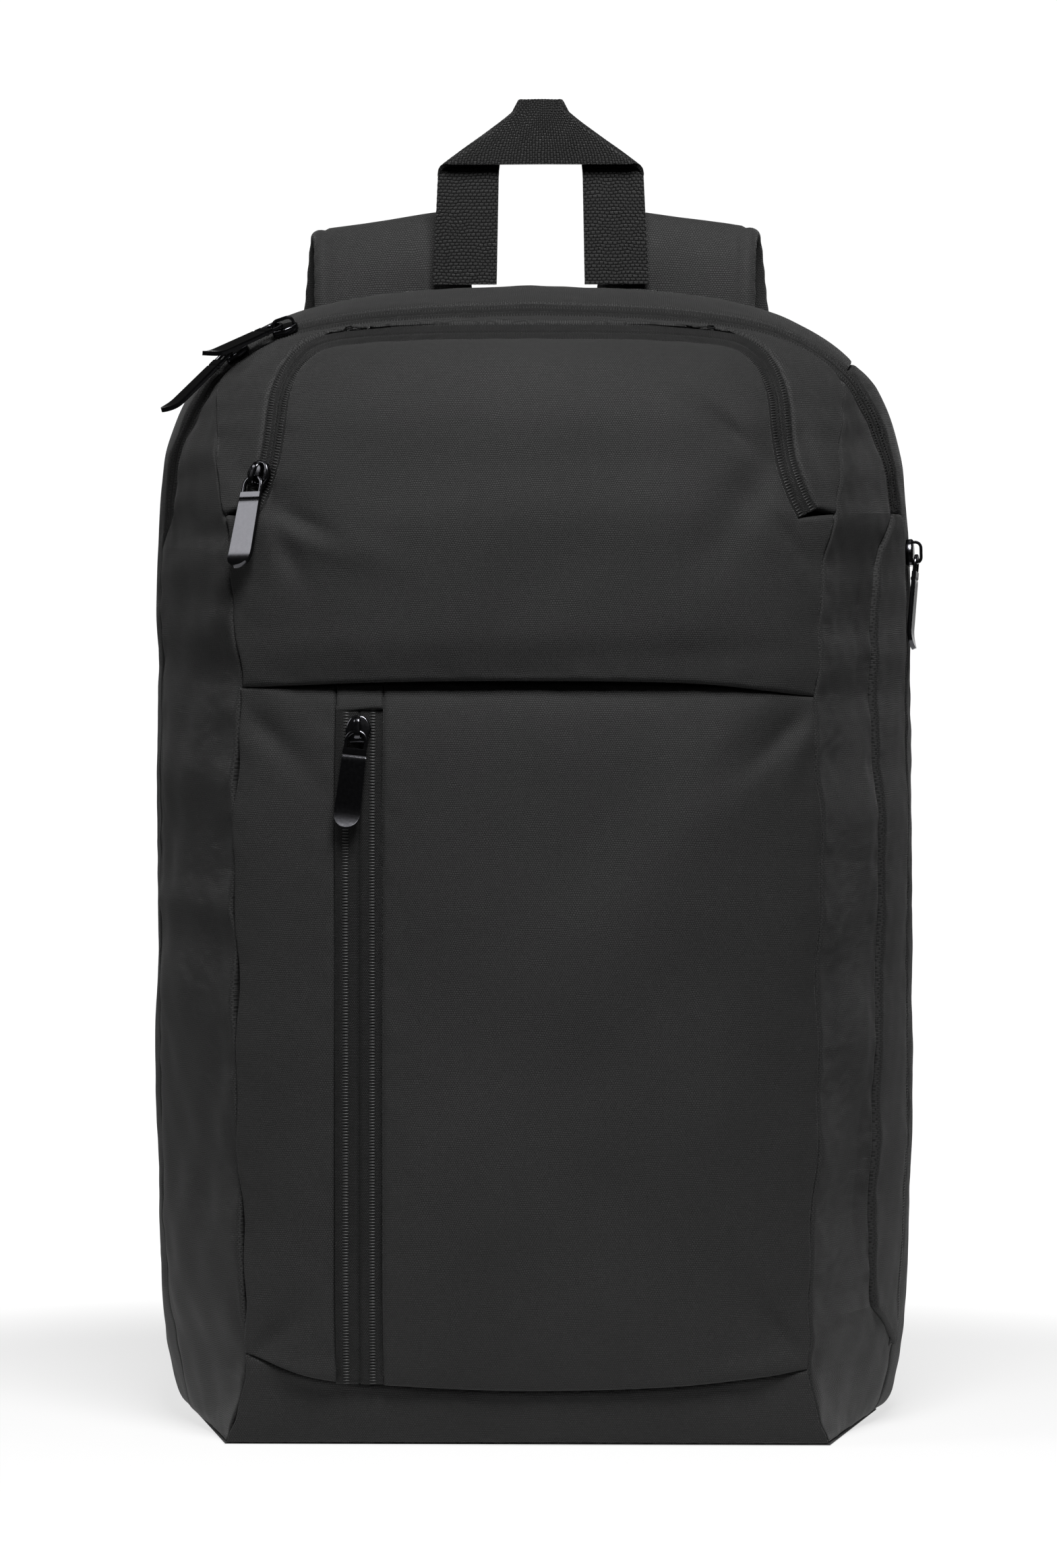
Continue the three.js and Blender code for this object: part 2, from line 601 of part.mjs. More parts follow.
// Cuts across the sides, as shares from the front seam to the back seam at each row: where the front
// gusset ends, where the side panel meets its zip, and where the back gusset starts.
function sideCuts(side, row) {
  const station = STATIONS[side][row];
  if (row >= DOOR_ROW) {
    const low = Math.max(mainZipShare(station, -MAIN_TAPE_WIDTH / 2), row === EAR_ROW ? TAPER : 0);
    const high = mainZipShare(station, MAIN_TAPE_WIDTH / 2);
    return { gusset: low, zip: (low + high) / 2, rear: high };
  }
  if (side < 0) {
    const spread = row === DOOR_ROW - 1 ? TAPER : 0;
    return { gusset: LEFT_SEAM - spread, zip: LEFT_SEAM, rear: LEFT_SEAM + spread };
  }
  if (row >= SIDE_PANEL_ROW) {
    const edge = read(SIDE_PANEL_EDGE, 'station', 'edge', station);
    return { gusset: edge, zip: SIDE_ZIP_FRONT, rear: SIDE_ZIP_REAR };
  }
  const spread = row === SIDE_PANEL_ROW - 1 ? TAPER : 0;
  return { gusset: SIDE_ZIP_REAR - 2 * spread, zip: SIDE_ZIP_REAR - spread, rear: SIDE_ZIP_REAR };
}

function sideSheet(name, side, first, last, columns, low, high, thickness, colour, raise = 0) {
  const points = grid(last - first, columns, (r, c) => {
    const row = first + r;
    const share = lerp(low(row), high(row), c / columns);
    const point = sidePoint(STATIONS[side][row], share, side);
    return raise ? point.addScaledVector(inward(point), -raise) : point;
  });
  add(name, sheet(points, thickness), colour);
}

function gussets() {
  for (const side of [-1, 1]) {
    const word = side < 0 ? 'left' : 'right';
    const front = (row) => sideCuts(side, row).gusset;
    const rear = (row) => sideCuts(side, row).rear;
    sideSheet(`gusset_${word}`, side, 0, EAR_ROW, 4, () => 0, front, CLOTH, CLOTH_COLOUR);
    sideSheet(`back_gusset_${word}`, side, 0, EAR_ROW, 2, rear, () => 1, CLOTH, CLOTH_COLOUR);
  }
}

function sidePanel() {
  const first = SIDE_PANEL_ROW - 1;
  const edge = (row) => sideCuts(1, row).gusset;
  const zip = (row) => sideCuts(1, row).zip;
  const rear = (row) => sideCuts(1, row).rear;
  sideSheet('side_panel', 1, first, DOOR_ROW, 3, edge, zip, POCKET_CLOTH, CLOTH_COLOUR, SIDE_PANEL_RAISE);
  sideSheet('side_zip_tape', 1, first, DOOR_ROW, 2, zip, rear, TAPE_CLOTH, TAPE_COLOUR);
}

function topBand() {
  const rim = grid(2 * TOP_ROWS, 2, (r, c) => {
    const { side, station, index } = overTop(r, EAR_ROW);
    return sidePoint(station, lerp(sideCuts(side, index).rear, 1, c / 2), side);
  });
  add('rim_band', sheet(rim, CLOTH), CLOTH_COLOUR);
  const leftStart = DOOR_ROW - 1;
  const tape = grid(2 * (TOP_ROW - leftStart) - 1, 2, (r, c) => {
    const { side, station, index } = overTop(r, leftStart);
    const cuts = sideCuts(side, index);
    const point = sidePoint(station, lerp(cuts.gusset, cuts.rear, c / 2), side);
    return point.addScaledVector(inward(point), TAPE_RECESS);
  });
  add('main_zip_tape', sheet(tape, TAPE_CLOTH), TAPE_COLOUR);
}

function backPanel() {
  const columns = 8;
  const last = TOP_ROW - 1;
  const points = grid(last, columns, (r, c) => {
    const left = backSeam(STATIONS[-1][r], -1);
    const right = backSeam(STATIONS[1][r], 1);
    const share = c / columns;
    const point = left.lerp(right, share);
    const up = point.z / BODY_HEIGHT;
    const crown = (1 - (2 * share - 1) ** 4) * (1 - (2 * up - 1) ** 6);
    point.y += BACK_CROWN * crown;
    return point;
  });
  add('back_panel', sheet(points, BACK_PADDING), CLOTH_COLOUR);
}

function base() {
  const rows = 4;
  const columns = 8;
  const points = grid(rows, columns, (r, c) => {
    const edge = sidePoint(0, r / rows, 1);
    return new THREE.Vector3(lerp(-edge.x, edge.x, c / columns), edge.y, 0);
  });
  add('base', sheet(points, BASE_CLOTH), CLOTH_COLOUR);
}

// Handle: a web whose two legs rise from the back seam and fold forward at 45 degrees into the top.

function handle() {
  const legTop = HANDLE_LEG_HEIGHT;
  const arc = Math.PI * HANDLE_FOLD_RADIUS;
  const shift = arc * Math.SQRT1_2;
  const half = legTop + HANDLE_SPAN / 2 + shift;
  const foldRows = 6;
  const starts = [0, 0.3, 0.6, 0.8].map((share) => share * legTop);
  for (let i = 0; i <= foldRows; i++) starts.push(legTop + (arc * Math.SQRT2 * i) / foldRows);
  const foldEnd = legTop + arc * Math.SQRT2;
  starts.push(lerp(foldEnd, half, 0.5), half);
  const lastRow = starts.length - 1;
  const skewAt = (s) => Math.min(1, Math.max(0, s / legTop - 0.25) / 0.5, (half - s) / (half - foldEnd));
  const columns = 2;
  const facing = [];
  const strip = grid(2 * lastRow, columns, (r, c) => {
    const side = r <= lastRow ? -1 : 1;
    const start = starts[r <= lastRow ? r : 2 * lastRow - r];
    const offset = lerp(-HANDLE_WEB_WIDTH / 2, HANDLE_WEB_WIDTH / 2, c / columns);
    const along = start + skewAt(start) * offset;
    const past = (along - legTop - offset) * Math.SQRT1_2;
    const roll = THREE.MathUtils.clamp(past / HANDLE_FOLD_RADIUS, 0, Math.PI);
    const travel = past <= 0 ? 0 : HANDLE_FOLD_RADIUS * Math.sin(roll) - Math.max(past - arc, 0) - past;
    const x = offset - travel * Math.SQRT1_2;
    const z = along + travel * Math.SQRT1_2;
    const y = HALF_DEPTH - HANDLE_FOLD_RADIUS * (1 - Math.cos(roll));
    const tilt = Math.sin(roll) * Math.SQRT1_2;
    facing.push(new THREE.Vector3(-side * tilt, -Math.cos(roll), -tilt));
    const legX = HANDLE_CENTRE_X + side * (HANDLE_SPAN / 2);
    return new THREE.Vector3(legX - side * x, y, BODY_HEIGHT + SEAM_GAP + z);
  });
  strip.points.forEach((point, i) => point.addScaledVector(facing[i], -HANDLE_WEB_THICKNESS / 2));
  // The legs lean together a little, and the grip is drawn in towards its top edge.
  for (const point of strip.points) {
    const up = point.z - BODY_HEIGHT - SEAM_GAP;
    const lean = HANDLE_LEAN * THREE.MathUtils.clamp(up / legTop, 0, 1);
    const squeeze = HANDLE_TOP_SQUEEZE
      * THREE.MathUtils.clamp((up - legTop) / HANDLE_WEB_WIDTH + 0.5, 0, 1) ** 2;
    point.x = HANDLE_CENTRE_X + (point.x - HANDLE_CENTRE_X) * (1 - lean - squeeze);
  }
  add('grab_handle', sheet(strip, HANDLE_WEB_THICKNESS, (point, i) => facing[i], 0), STRAP_COLOUR, 0.7);
}

// Closed skin through rings of equal point count, capped at both ends.
function sweep(rings) {
  const count = rings[0].length;
  const vertices = rings.flat();
  const faces = [];
  for (let r = 0; r + 1 < rings.length; r++) {
    for (let i = 0; i < count; i++) {
      const next = (i + 1) % count;
      const [a, b] = [r * count + i, r * count + next];
      faces.push([a, b, b + count], [a, b + count, a + count]);
    }
  }
  const end = (rings.length - 1) * count;
  for (let i = 1; i + 1 < count; i++) faces.push([0, i + 1, i], [end, end + i, end + i + 1]);
  return faceOut(geometryOf(vertices, faces));
}

// Rounded flat section: points (across, through) of a strap or a web.
function flatSection(width, thickness, round) {
  const x = width / 2;
  const y = thickness / 2;
  const inset = round * 0.3;
  const corner = [[x - round, y], [x - inset, y - inset], [x, y - round]];
  const half = [...corner, ...corner.toReversed().map(([a, b]) => [a, -b])];
  return [...half, ...half.map(([a, b]) => [-a, -b])];
}

// Shoulder straps: one side's run from its top seam over the arch and down the back.
// Lengths are shares: out of HALF_WIDTH, back of HALF_DEPTH, up of BODY_HEIGHT. Roll is in degrees.
const STRAP_RUN = [
  { out: 0, back: 1.145, up: 0.905, wide: 1, roll: 0 },
  { out: 0, back: 1.15, up: 0.975, wide: 1, roll: 0 },
  { out: 0.01, back: 1.18, up: 1.022, wide: 1, roll: 4 },
  { out: 0.03, back: 1.29, up: 1.05, wide: 1, roll: 8 },
  { out: 0.06, back: 1.45, up: 1.053, wide: 1, roll: 8 },
  { out: 0.1, back: 1.57, up: 1.03, wide: 1, roll: 6 },
  { out: 0.15, back: 1.62, up: 0.985, wide: 1, roll: 3 },
  { out: 0.25, back: 1.615, up: 0.91, wide: 1, roll: 0 },
  { out: 0.4, back: 1.58, up: 0.8, wide: 1, roll: 0 },
  { out: 0.57, back: 1.53, up: 0.685, wide: 1, roll: 0 },
  { out: 0.76, back: 1.47, up: 0.57, wide: 0.97, roll: 0 },
  { out: 0.92, back: 1.38, up: 0.47, wide: 0.88, roll: 0 },
  { out: 1, back: 1.32, up: 0.405, wide: 0.62, roll: 0 },
];

function strapFrame(index, side) {
  const place = (row) => new THREE.Vector3(
    side * (STRAP_TOP_X + STRAP_SPLAY * row.out),
    HALF_DEPTH * row.back,
    BODY_HEIGHT * row.up,
  );
  const here = place(STRAP_RUN[index]);
  const before = place(STRAP_RUN[Math.max(index - 1, 0)]);
  const after = place(STRAP_RUN[Math.min(index + 1, STRAP_RUN.length - 1)]);
  const along = after.sub(before).normalize();
  const through = new THREE.Vector3(1, 0, 0).cross(along).normalize()
    .applyAxisAngle(along, side * radians(STRAP_RUN[index].roll));
  const across = along.clone().cross(through);
  return { here, along, across, through };
}

const strapWord = (side) => (side < 0 ? 'left' : 'right');

function shoulderStrap(side) {
  const rings = STRAP_RUN.map(({ wide }, index) => {
    const { here, across, through } = strapFrame(index, side);
    return flatSection(STRAP_WIDTH * wide, STRAP_THICKNESS, STRAP_THICKNESS * 0.4)
      .map(([a, t]) => here.clone().addScaledVector(across, a).addScaledVector(through, t));
  });
  add(`shoulder_strap_${strapWord(side)}`, sweep(rings), STRAP_COLOUR, 0.8);
}

// Anchor tabs in the lower back corners: a cloth triangle that holds the end of the strap's web.
function tabCorners(side) {
  return [[0.97, 0.205], [0.955, 0.05], [0.78, 0.13]]
    .map(([out, up]) => new THREE.Vector2(side * HALF_WIDTH * out, BODY_HEIGHT * up));
}
const CROWN_AT_TAB = 0.56;
const TAB_FRONT = HALF_DEPTH + BACK_CROWN * CROWN_AT_TAB;

function anchorTab(side) {
  const shape = new THREE.Shape(tabCorners(side));
  const geometry = new THREE.ExtrudeGeometry(shape, { depth: TAB_THICKNESS, bevelEnabled: false });
  const mesh = add(`anchor_tab_${strapWord(side)}`, geometry, CLOTH_COLOUR);
  mesh.rotation.x = Math.PI / 2;
  mesh.position.y = TAB_FRONT + TAB_THICKNESS;
}

// Frame at a strap's lower end: x runs down the web to its tab, z points away from the back.
function buckleFrame(side) {
  const { here } = strapFrame(STRAP_RUN.length - 1, side);
  const [upper, lower, apex] = tabCorners(side);
  const middle = upper.clone().add(lower).add(apex).divideScalar(3);
  const webRest = TAB_FRONT + TAB_THICKNESS + SEAM_GAP + BUCKLE_THICKNESS / 2 + STRAP_WEB_THICKNESS;
  const target = new THREE.Vector3(middle.x, webRest, middle.y);
  const along = target.clone().sub(here).normalize();
  const out = new THREE.Vector3(0, 1, 0).addScaledVector(along, -along.y).normalize();
  const across = out.clone().cross(along);
  const start = here.clone().addScaledVector(along, BUCKLE_SETBACK);
  const matrix = new THREE.Matrix4().makeBasis(along, across, out).setPosition(start);
  return { matrix, reach: target.distanceTo(start) };
}

// Ladder buckle: a flat frame with two slots, so that its middle and lower bars hold the web.
function buckle(side) {
  const width = STRAP_WEB_WIDTH + 2 * BUCKLE_RIM;
  const slotWidth = STRAP_WEB_WIDTH + 4 * SEAM_GAP;
  const plate = new THREE.BoxGeometry(BUCKLE_LENGTH, width, BUCKLE_THICKNESS);
  let frame = solidOf(plate.translate(BUCKLE_LENGTH / 2, 0, 0));
  for (const centre of buckleSlots()) {
    const slot = new THREE.BoxGeometry(slotLength(), slotWidth, 2 * BUCKLE_THICKNESS);
    frame = frame.subtract(solidOf(slot.translate(centre, 0, 0)));
  }
  const mesh = add(`ladder_buckle_${strapWord(side)}`, geometryFrom(frame), METAL_COLOUR, 0.4);
  mesh.applyMatrix4(buckleFrame(side).matrix);
}
const slotLength = () => (BUCKLE_LENGTH - 3 * BUCKLE_BAR) / 2;
const buckleSlots = () => [BUCKLE_BAR + slotLength() / 2, 2 * BUCKLE_BAR + slotLength() * 1.5];

// Web from its tail, through the buckle's slots and over the middle bar, down to the anchor tab.
function strapWeb(side) {
  const { matrix, reach } = buckleFrame(side);
  const [upperSlot, lowerSlot] = buckleSlots();
  const clear = BUCKLE_THICKNESS / 2 + SEAM_GAP + STRAP_WEB_THICKNESS / 2;
  const under = clear + STRAP_WEB_THICKNESS + SEAM_GAP * 2;
  const turn = STRAP_WEB_THICKNESS * 1.1;
  const round = STRAP_WEB_THICKNESS * 0.8;
  const route = [
    [WEB_TAIL, -under], [BUCKLE_LENGTH, -under], [upperSlot + turn, -under], [upperSlot, 1 - clear],
    [upperSlot, clear - round], [upperSlot + turn, clear], [lowerSlot - turn, clear],
    [lowerSlot, clear - round], [lowerSlot, turn - clear], [lowerSlot + turn, -clear],
    [BUCKLE_LENGTH + turn, -clear], [reach, -clear],
  ].map(([along, out]) => new THREE.Vector2(along, out));
  const rings = route.map((point, i) => {
    const before = route[Math.max(i - 1, 0)];
    const after = route[Math.min(i + 1, route.length - 1)];
    const heading = after.clone().sub(before).normalize();
    const normal = new THREE.Vector2(-heading.y, heading.x);
    const [x, t] = [STRAP_WEB_WIDTH / 2, STRAP_WEB_THICKNESS / 2];
    return [[-x, -t], [x, -t], [x, t], [-x, t]]
      .map(([a, n]) => new THREE.Vector3(point.x + normal.x * n, a, point.y + normal.y * n));
  });
  add(`strap_web_${strapWord(side)}`, sweep(rings), STRAP_COLOUR, 0.7).applyMatrix4(matrix);
}

// Zip sliders and pulls, in a frame with x along the zip towards the pull, z away from the cloth.

function sliderSolid() {
  const [l, w] = [SLIDER_LENGTH / 2, SLIDER_WIDTH / 2];
  const body = new THREE.Shape([
    [-l, -w * 0.7], [-l * 0.7, -w], [l * 0.1, -w], [l * 0.8, -w * 0.72], [l, -w * 0.4],
    [l, w * 0.4], [l * 0.8, w * 0.72], [l * 0.1, w], [-l * 0.7, w], [-l, w * 0.7],
  ].map(([x, y]) => new THREE.Vector2(x, y)));
  const high = { depth: SLIDER_BODY_TOP - SLIDER_FLOAT, bevelEnabled: false };
  const plate = new THREE.ExtrudeGeometry(body, high);
  plate.translate(0, 0, SLIDER_FLOAT);
  const b = BRIDGE_LENGTH / 2;
  const inner = b - BRIDGE_WALL;
  const foot = SLIDER_BODY_TOP - BRIDGE_WALL / 2;
  const shoulder = BRIDGE_TOP - BRIDGE_WALL;
  const arch = new THREE.Shape([
    [-b, foot], [-b, shoulder], [-inner, BRIDGE_TOP], [inner, BRIDGE_TOP], [b, shoulder], [b, foot],
    [inner, foot], [inner, shoulder], [-inner, shoulder], [-inner, foot],
  ].map(([x, y]) => new THREE.Vector2(x, y)));
  const bridge = new THREE.ExtrudeGeometry(arch, { depth: BRIDGE_WIDTH, bevelEnabled: false });
  bridge.rotateX(Math.PI / 2).translate(0, BRIDGE_WIDTH / 2, 0);
  return geometryFrom(solidOf(plate).add(solidOf(bridge)));
}

// The pull's origin is the middle of its crossbar.
function pullSolid() {
  const wire = WIRE / 2;
  const half = RING_WIDTH / 2;
  const ring = new THREE.Shape([
    [-wire, wire - half], [0, -half], [RING_REACH, -half],
    [RING_REACH, half], [0, half], [-wire, half - wire],
  ].map(([x, y]) => new THREE.Vector2(x, y)));
  const inside = half - WIRE + WIRE / 14;
  const holeEnd = RING_REACH - WIRE;
  ring.holes.push(new THREE.Path([
    [wire, -inside], [wire, inside], [holeEnd, inside], [holeEnd, -inside],
  ].map(([x, y]) => new THREE.Vector2(x, y))));
  const loop = new THREE.ExtrudeGeometry(ring, { depth: WIRE, bevelEnabled: false });
  loop.translate(0, 0, -wire);
  const t = PULL_THICKNESS / 2;
  const bendAt = PULL_LENGTH - PULL_TIP_LENGTH;
  const rise = PULL_TIP_LENGTH * Math.tan(radians(PULL_TIP_BEND));
  const profile = new THREE.Shape([
    [holeEnd, -t], [bendAt, -t], [PULL_LENGTH, rise - t], [PULL_LENGTH, rise + t], [bendAt, t], [holeEnd, t],
  ].map(([x, y]) => new THREE.Vector2(x, y)));
  const bar = new THREE.ExtrudeGeometry(profile, { depth: PULL_WIDTH, bevelEnabled: false });
  bar.rotateX(Math.PI / 2).translate(0, PULL_WIDTH / 2, 0);
  const end = PULL_WIDTH / 2;
  const outline = new THREE.Shape();
  outline.moveTo(holeEnd, -half);
  outline.lineTo(PULL_LENGTH - end, -end);
  outline.absarc(PULL_LENGTH - end, 0, end, -Math.PI / 2, Math.PI / 2, false);
  outline.lineTo(holeEnd, half);
  const deep = { depth: PULL_LENGTH, bevelEnabled: false, curveSegments: 8 };
  const cutter = new THREE.ExtrudeGeometry(outline, deep);
  cutter.translate(0, 0, -PULL_LENGTH / 2);
  return geometryFrom(solidOf(bar).intersect(solidOf(cutter)).add(solidOf(loop)));
}

// Seat on a surface given as a function of two shares or lengths: its point, outward normal and headings.
function seatOn(surface, a, b, stepA, stepB) {
  const point = surface(a, b);
  const alongA = surface(a + stepA, b).sub(surface(a - stepA, b)).normalize();
  const alongB = surface(a, b + stepB).sub(surface(a, b - stepB)).normalize();
  const normal = alongA.clone().cross(alongB).normalize();
  if (normal.dot(inward(point)) > 0) normal.negate();
  return { point, normal, alongA };
}

function zipSeats() {
  const pocket = (z, x) => frontPoint(LOWER_CENTRE, x, z, TAPE_RECESS);
  const door = (share, across) => {
    const flat = doorZip(share, across);
    return frontPoint(UPPER_CENTRE, flat.x, flat.y, -SLIDER_FLOAT);
  };
  const mainLeft = (station, across) => {
    const point = sidePoint(station, mainZipShare(station, across), -1);
    return point.addScaledVector(inward(point), TAPE_RECESS);
  };
  const sideRight = (station, share) => sidePoint(station, share, 1);
  return {
    pocket: { ...seatOn(pocket, pocketZipTop() - SLIDER_SETBACK, POCKET_ZIP_X, -1, 1), yaw: -7, tilt: 3 },
    front: { ...seatOn(door, 0.08, 0, -0.012, 1), yaw: 14, tilt: -7 },
    main_lower: { ...seatOn(mainLeft, 13.6, 0, -0.1, 1), yaw: 12, tilt: 7 },
    main_upper: { ...seatOn(mainLeft, 14.6, 0, -0.1, 1), yaw: 31, tilt: -2 },
    side: { ...seatOn(sideRight, 9.57, (SIDE_ZIP_FRONT + SIDE_ZIP_REAR) / 2, -0.1, 0.05), yaw: 0, tilt: 6 },
  };
}

function zipPulls() {
  for (const [name, { point, normal, alongA, yaw, tilt }] of Object.entries(zipSeats())) {
    const across = normal.clone().cross(alongA);
    const slide = new THREE.Matrix4().makeBasis(alongA, across, normal).setPosition(point);
    add(`zip_slider_${name}`, sliderSolid(), METAL_COLOUR, 0.2, 0.9).applyMatrix4(slide);
    const hang = slide.clone()
      .multiply(new THREE.Matrix4().makeTranslation(CROSSBAR_ALONG, 0, CROSSBAR_HEIGHT))
      .multiply(new THREE.Matrix4().makeRotationZ(radians(yaw)))
      .multiply(new THREE.Matrix4().makeRotationY(radians(tilt)));
    add(`zip_pull_${name}`, pullSolid(), METAL_COLOUR, 0.15, 0.9).applyMatrix4(hang);
  }
}

lowerPanel('lower_front_left', -1, POCKET_ZIP_X - POCKET_TAPE_WIDTH / 2, 3);
lowerPanel('lower_front_right', 1, POCKET_ZIP_X + POCKET_TAPE_WIDTH / 2, 9);
pocketZip();
baseFront();
upperPanel();
doorZipTape();
yoke();
gussets();
sidePanel();
topBand();
backPanel();
base();
handle();
for (const side of [-1, 1]) {
  shoulderStrap(side);
  anchorTab(side);
  buckle(side);
  strapWeb(side);
}
zipPulls();

export default group;
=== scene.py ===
# %% [markdown]
# # A laptop backpack
# A soft bag that stands on its base, filled to its normal shape. Sewn cloth panels make its shell,
# coil zips join them, and webbing, padded straps and small metal pulls hang on it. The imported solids
# fix every size and place, so this script starts from them and gives each piece its real surface.

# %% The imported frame
import math

import bmesh
import bpy
import numpy as np
from mathutils import Matrix, Vector
from mathutils.kdtree import KDTree


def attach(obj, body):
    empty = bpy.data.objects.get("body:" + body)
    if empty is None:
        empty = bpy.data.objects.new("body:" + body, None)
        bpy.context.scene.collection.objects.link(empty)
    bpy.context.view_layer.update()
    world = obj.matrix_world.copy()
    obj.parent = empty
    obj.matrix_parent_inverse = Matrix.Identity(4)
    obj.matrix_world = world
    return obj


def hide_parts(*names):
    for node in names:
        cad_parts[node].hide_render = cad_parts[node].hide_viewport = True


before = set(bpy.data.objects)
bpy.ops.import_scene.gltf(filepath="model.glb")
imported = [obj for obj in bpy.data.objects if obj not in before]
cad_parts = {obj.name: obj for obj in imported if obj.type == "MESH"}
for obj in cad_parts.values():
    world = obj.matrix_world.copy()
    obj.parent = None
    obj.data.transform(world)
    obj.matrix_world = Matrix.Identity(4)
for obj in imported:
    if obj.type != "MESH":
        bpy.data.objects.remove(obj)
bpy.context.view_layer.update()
MM = 0.001
print("packed nodes:", len(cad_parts))

# %% [markdown]
# ## Camera
# A product photograph of a tall bag is taken with a long lens from a couple of metres away, level
# with the middle of the bag, so that its sides stay nearly parallel. The picture shows a little more
# of the right side than of the left one, so the camera stands slightly to the right.

# %% Camera
scene = bpy.context.scene
scene.view_settings.view_transform = "Standard"
CAMERA_DISTANCE = 2.06
CAMERA_HEIGHT = 0.244
CAMERA_TURN = math.radians(1.3)
CAMERA_LENS = 124.5
AIM_X = -0.0008
bpy.ops.object.camera_add(
    location=(
        AIM_X + CAMERA_DISTANCE * math.sin(CAMERA_TURN),
        -CAMERA_DISTANCE * math.cos(CAMERA_TURN),
        CAMERA_HEIGHT,
    ),
    rotation=(math.pi / 2, 0, CAMERA_TURN),
)
camera = bpy.context.object
camera.data.lens = CAMERA_LENS
camera.data.sensor_width = 36
scene.camera = camera
print("camera at", [round(v, 3) for v in camera.location])

# %% [markdown]
# ## Colours and nodes
# Colours are picked as the eye sees them, in sRGB hex, while shaders work in linear light, so one
# function turns the first into the second. Another adds a node with its settings and links in one
# call, which keeps each material readable as a list of steps.


# %% Colour and node helpers
def linear(text, alpha=1.0):
    """Linear colour of an sRGB hex value."""
    parts = [int(text[i : i + 2], 16) / 255 for i in (1, 3, 5)]
    return [v / 12.92 if v <= 0.04045 else ((v + 0.055) / 1.055) ** 2.4 for v in parts] + [alpha]


def add_node(owner, kind, inputs=None, **settings):
    """A node of a material or the world, with its settings, and values or sockets as its inputs."""
    tree = owner.node_tree
    made = tree.nodes.new(kind)
    for key, value in settings.items():
        setattr(made, key, value)
    for key, value in (inputs or {}).items():
        if isinstance(value, bpy.types.NodeSocket):
            tree.links.new(value, made.inputs[key])
        else:
            made.inputs[key].default_value = value
    return made


def feed(material, name, value):
    """Gives an input of the material's shader a value or another node's output."""
    socket = material.node_tree.nodes["Principled BSDF"].inputs[name]
    if isinstance(value, bpy.types.NodeSocket):
        material.node_tree.links.new(value, socket)
    else:
        socket.default_value = value


def principled(name, colour, roughness, **sockets):
    """A new material with constant values on its shader's sockets."""
    material = bpy.data.materials.new(name)
    material.use_nodes = True
    feed(material, "Base Color", linear(colour))
    feed(material, "Roughness", roughness)
    for key, value in sockets.items():
        feed(material, key.replace("_", " ").title().replace("Ior", "IOR"), value)
    return material


# %% [markdown]
# ## Woven polyester
# The bag's cloth is a plain weave of thick black and grey polyester threads. Each crossing shows as a
# small oval dot, and the dots of one row sit over the gaps of the next, like bricks. So a brick
# pattern with soft joints draws the weave, in a UV map that counts millimetres along each panel's
# threads. Its joints are darker and lower than its dots, and a slow drift keeps its threads from lying
# dead straight. A finer noise is the fuzz of the fibres, and a coarser one the uneven dye of a large
# piece of cloth.


# %% Woven cloth
THREAD_DRIFT = 1.6
DYE_CHANGE = 0.12
SECOND_THREAD = 0.82


def woven(name, dark, light, pitch, row, joint, roughness, relief, sheen, fuzz=0.35):
    """Cloth whose dots are pitch by row millimetres; joint is the gap between them, relief its depth."""
    cloth = principled(
        name, light, roughness, sheen_weight=sheen, sheen_roughness=0.35, specular_ior_level=0.2
    )
    threads = add_node(cloth, "ShaderNodeUVMap", uv_map="cloth").outputs["UV"]
    drift = add_node(cloth, "ShaderNodeTexNoise", {"Vector": threads, "Scale": 0.16, "Detail": 1.0})
    slack = add_node(
        cloth, "ShaderNodeVectorMath",
        {0: drift.outputs["Color"], 1: (THREAD_DRIFT, THREAD_DRIFT, 0)}, operation="MULTIPLY",
    )
    uv = add_node(
        cloth, "ShaderNodeVectorMath", {0: threads, 1: slack.outputs[0]}, operation="ADD"
    ).outputs[0]
    second = [v * SECOND_THREAD for v in linear(light)[:3]] + [1]
    weave = add_node(
        cloth, "ShaderNodeTexBrick",
        {"Vector": uv, "Color1": linear(light), "Color2": second, "Mortar": linear(dark), "Scale": 1.0,
         "Mortar Size": joint, "Mortar Smooth": 1.0, "Brick Width": pitch, "Row Height": row},
    )
    fibre = add_node(cloth, "ShaderNodeTexNoise", {"Vector": uv, "Scale": 3.1, "Detail": 2.0})
    where = add_node(cloth, "ShaderNodeTexCoord").outputs["Object"]
    dye = add_node(cloth, "ShaderNodeTexNoise", {"Vector": where, "Scale": 16.0, "Detail": 3.0})
    colour = weave.outputs["Color"]
    for noise, change in ((fibre, fuzz), (dye, DYE_CHANGE)):
        level = add_node(
            cloth, "ShaderNodeMapRange",
            {"Value": noise.outputs["Fac"], "From Min": 0.25, "From Max": 0.75,
             "To Min": 1 - change, "To Max": 1 + change},
        )
        colour = add_node(
            cloth, "ShaderNodeMixRGB",
            {"Fac": 1.0, "Color1": colour, "Color2": level.outputs["Result"]}, blend_type="MULTIPLY",
        ).outputs["Color"]
    feed(cloth, "Base Color", colour)
    bump = add_node(
        cloth, "ShaderNodeBump",
        {"Strength": 1.0, "Distance": relief * MM, "Height": weave.outputs["Fac"]}, invert=True,
    )
    feed(cloth, "Normal", bump.outputs["Normal"])
    return cloth


BODY_CLOTH = woven("woven_polyester", "#101010", "#2c2c2c", 0.86, 0.74, 0.16, 0.7, 0.09, 0.1)
STRAP_CLOTH = woven("padded_polyester", "#151515", "#343434", 1.0, 0.78, 0.18, 0.72, 0.1, 0.12)
WEBBING = woven("polypropylene_webbing", "#040404", "#1d1d1d", 1.9, 1.3, 0.35, 0.5, 0.2, 0.1)
TAPE = woven("zip_tape", "#030303", "#1b1b1b", 0.7, 0.55, 0.2, 0.6, 0.15, 0.05, fuzz=0.7)

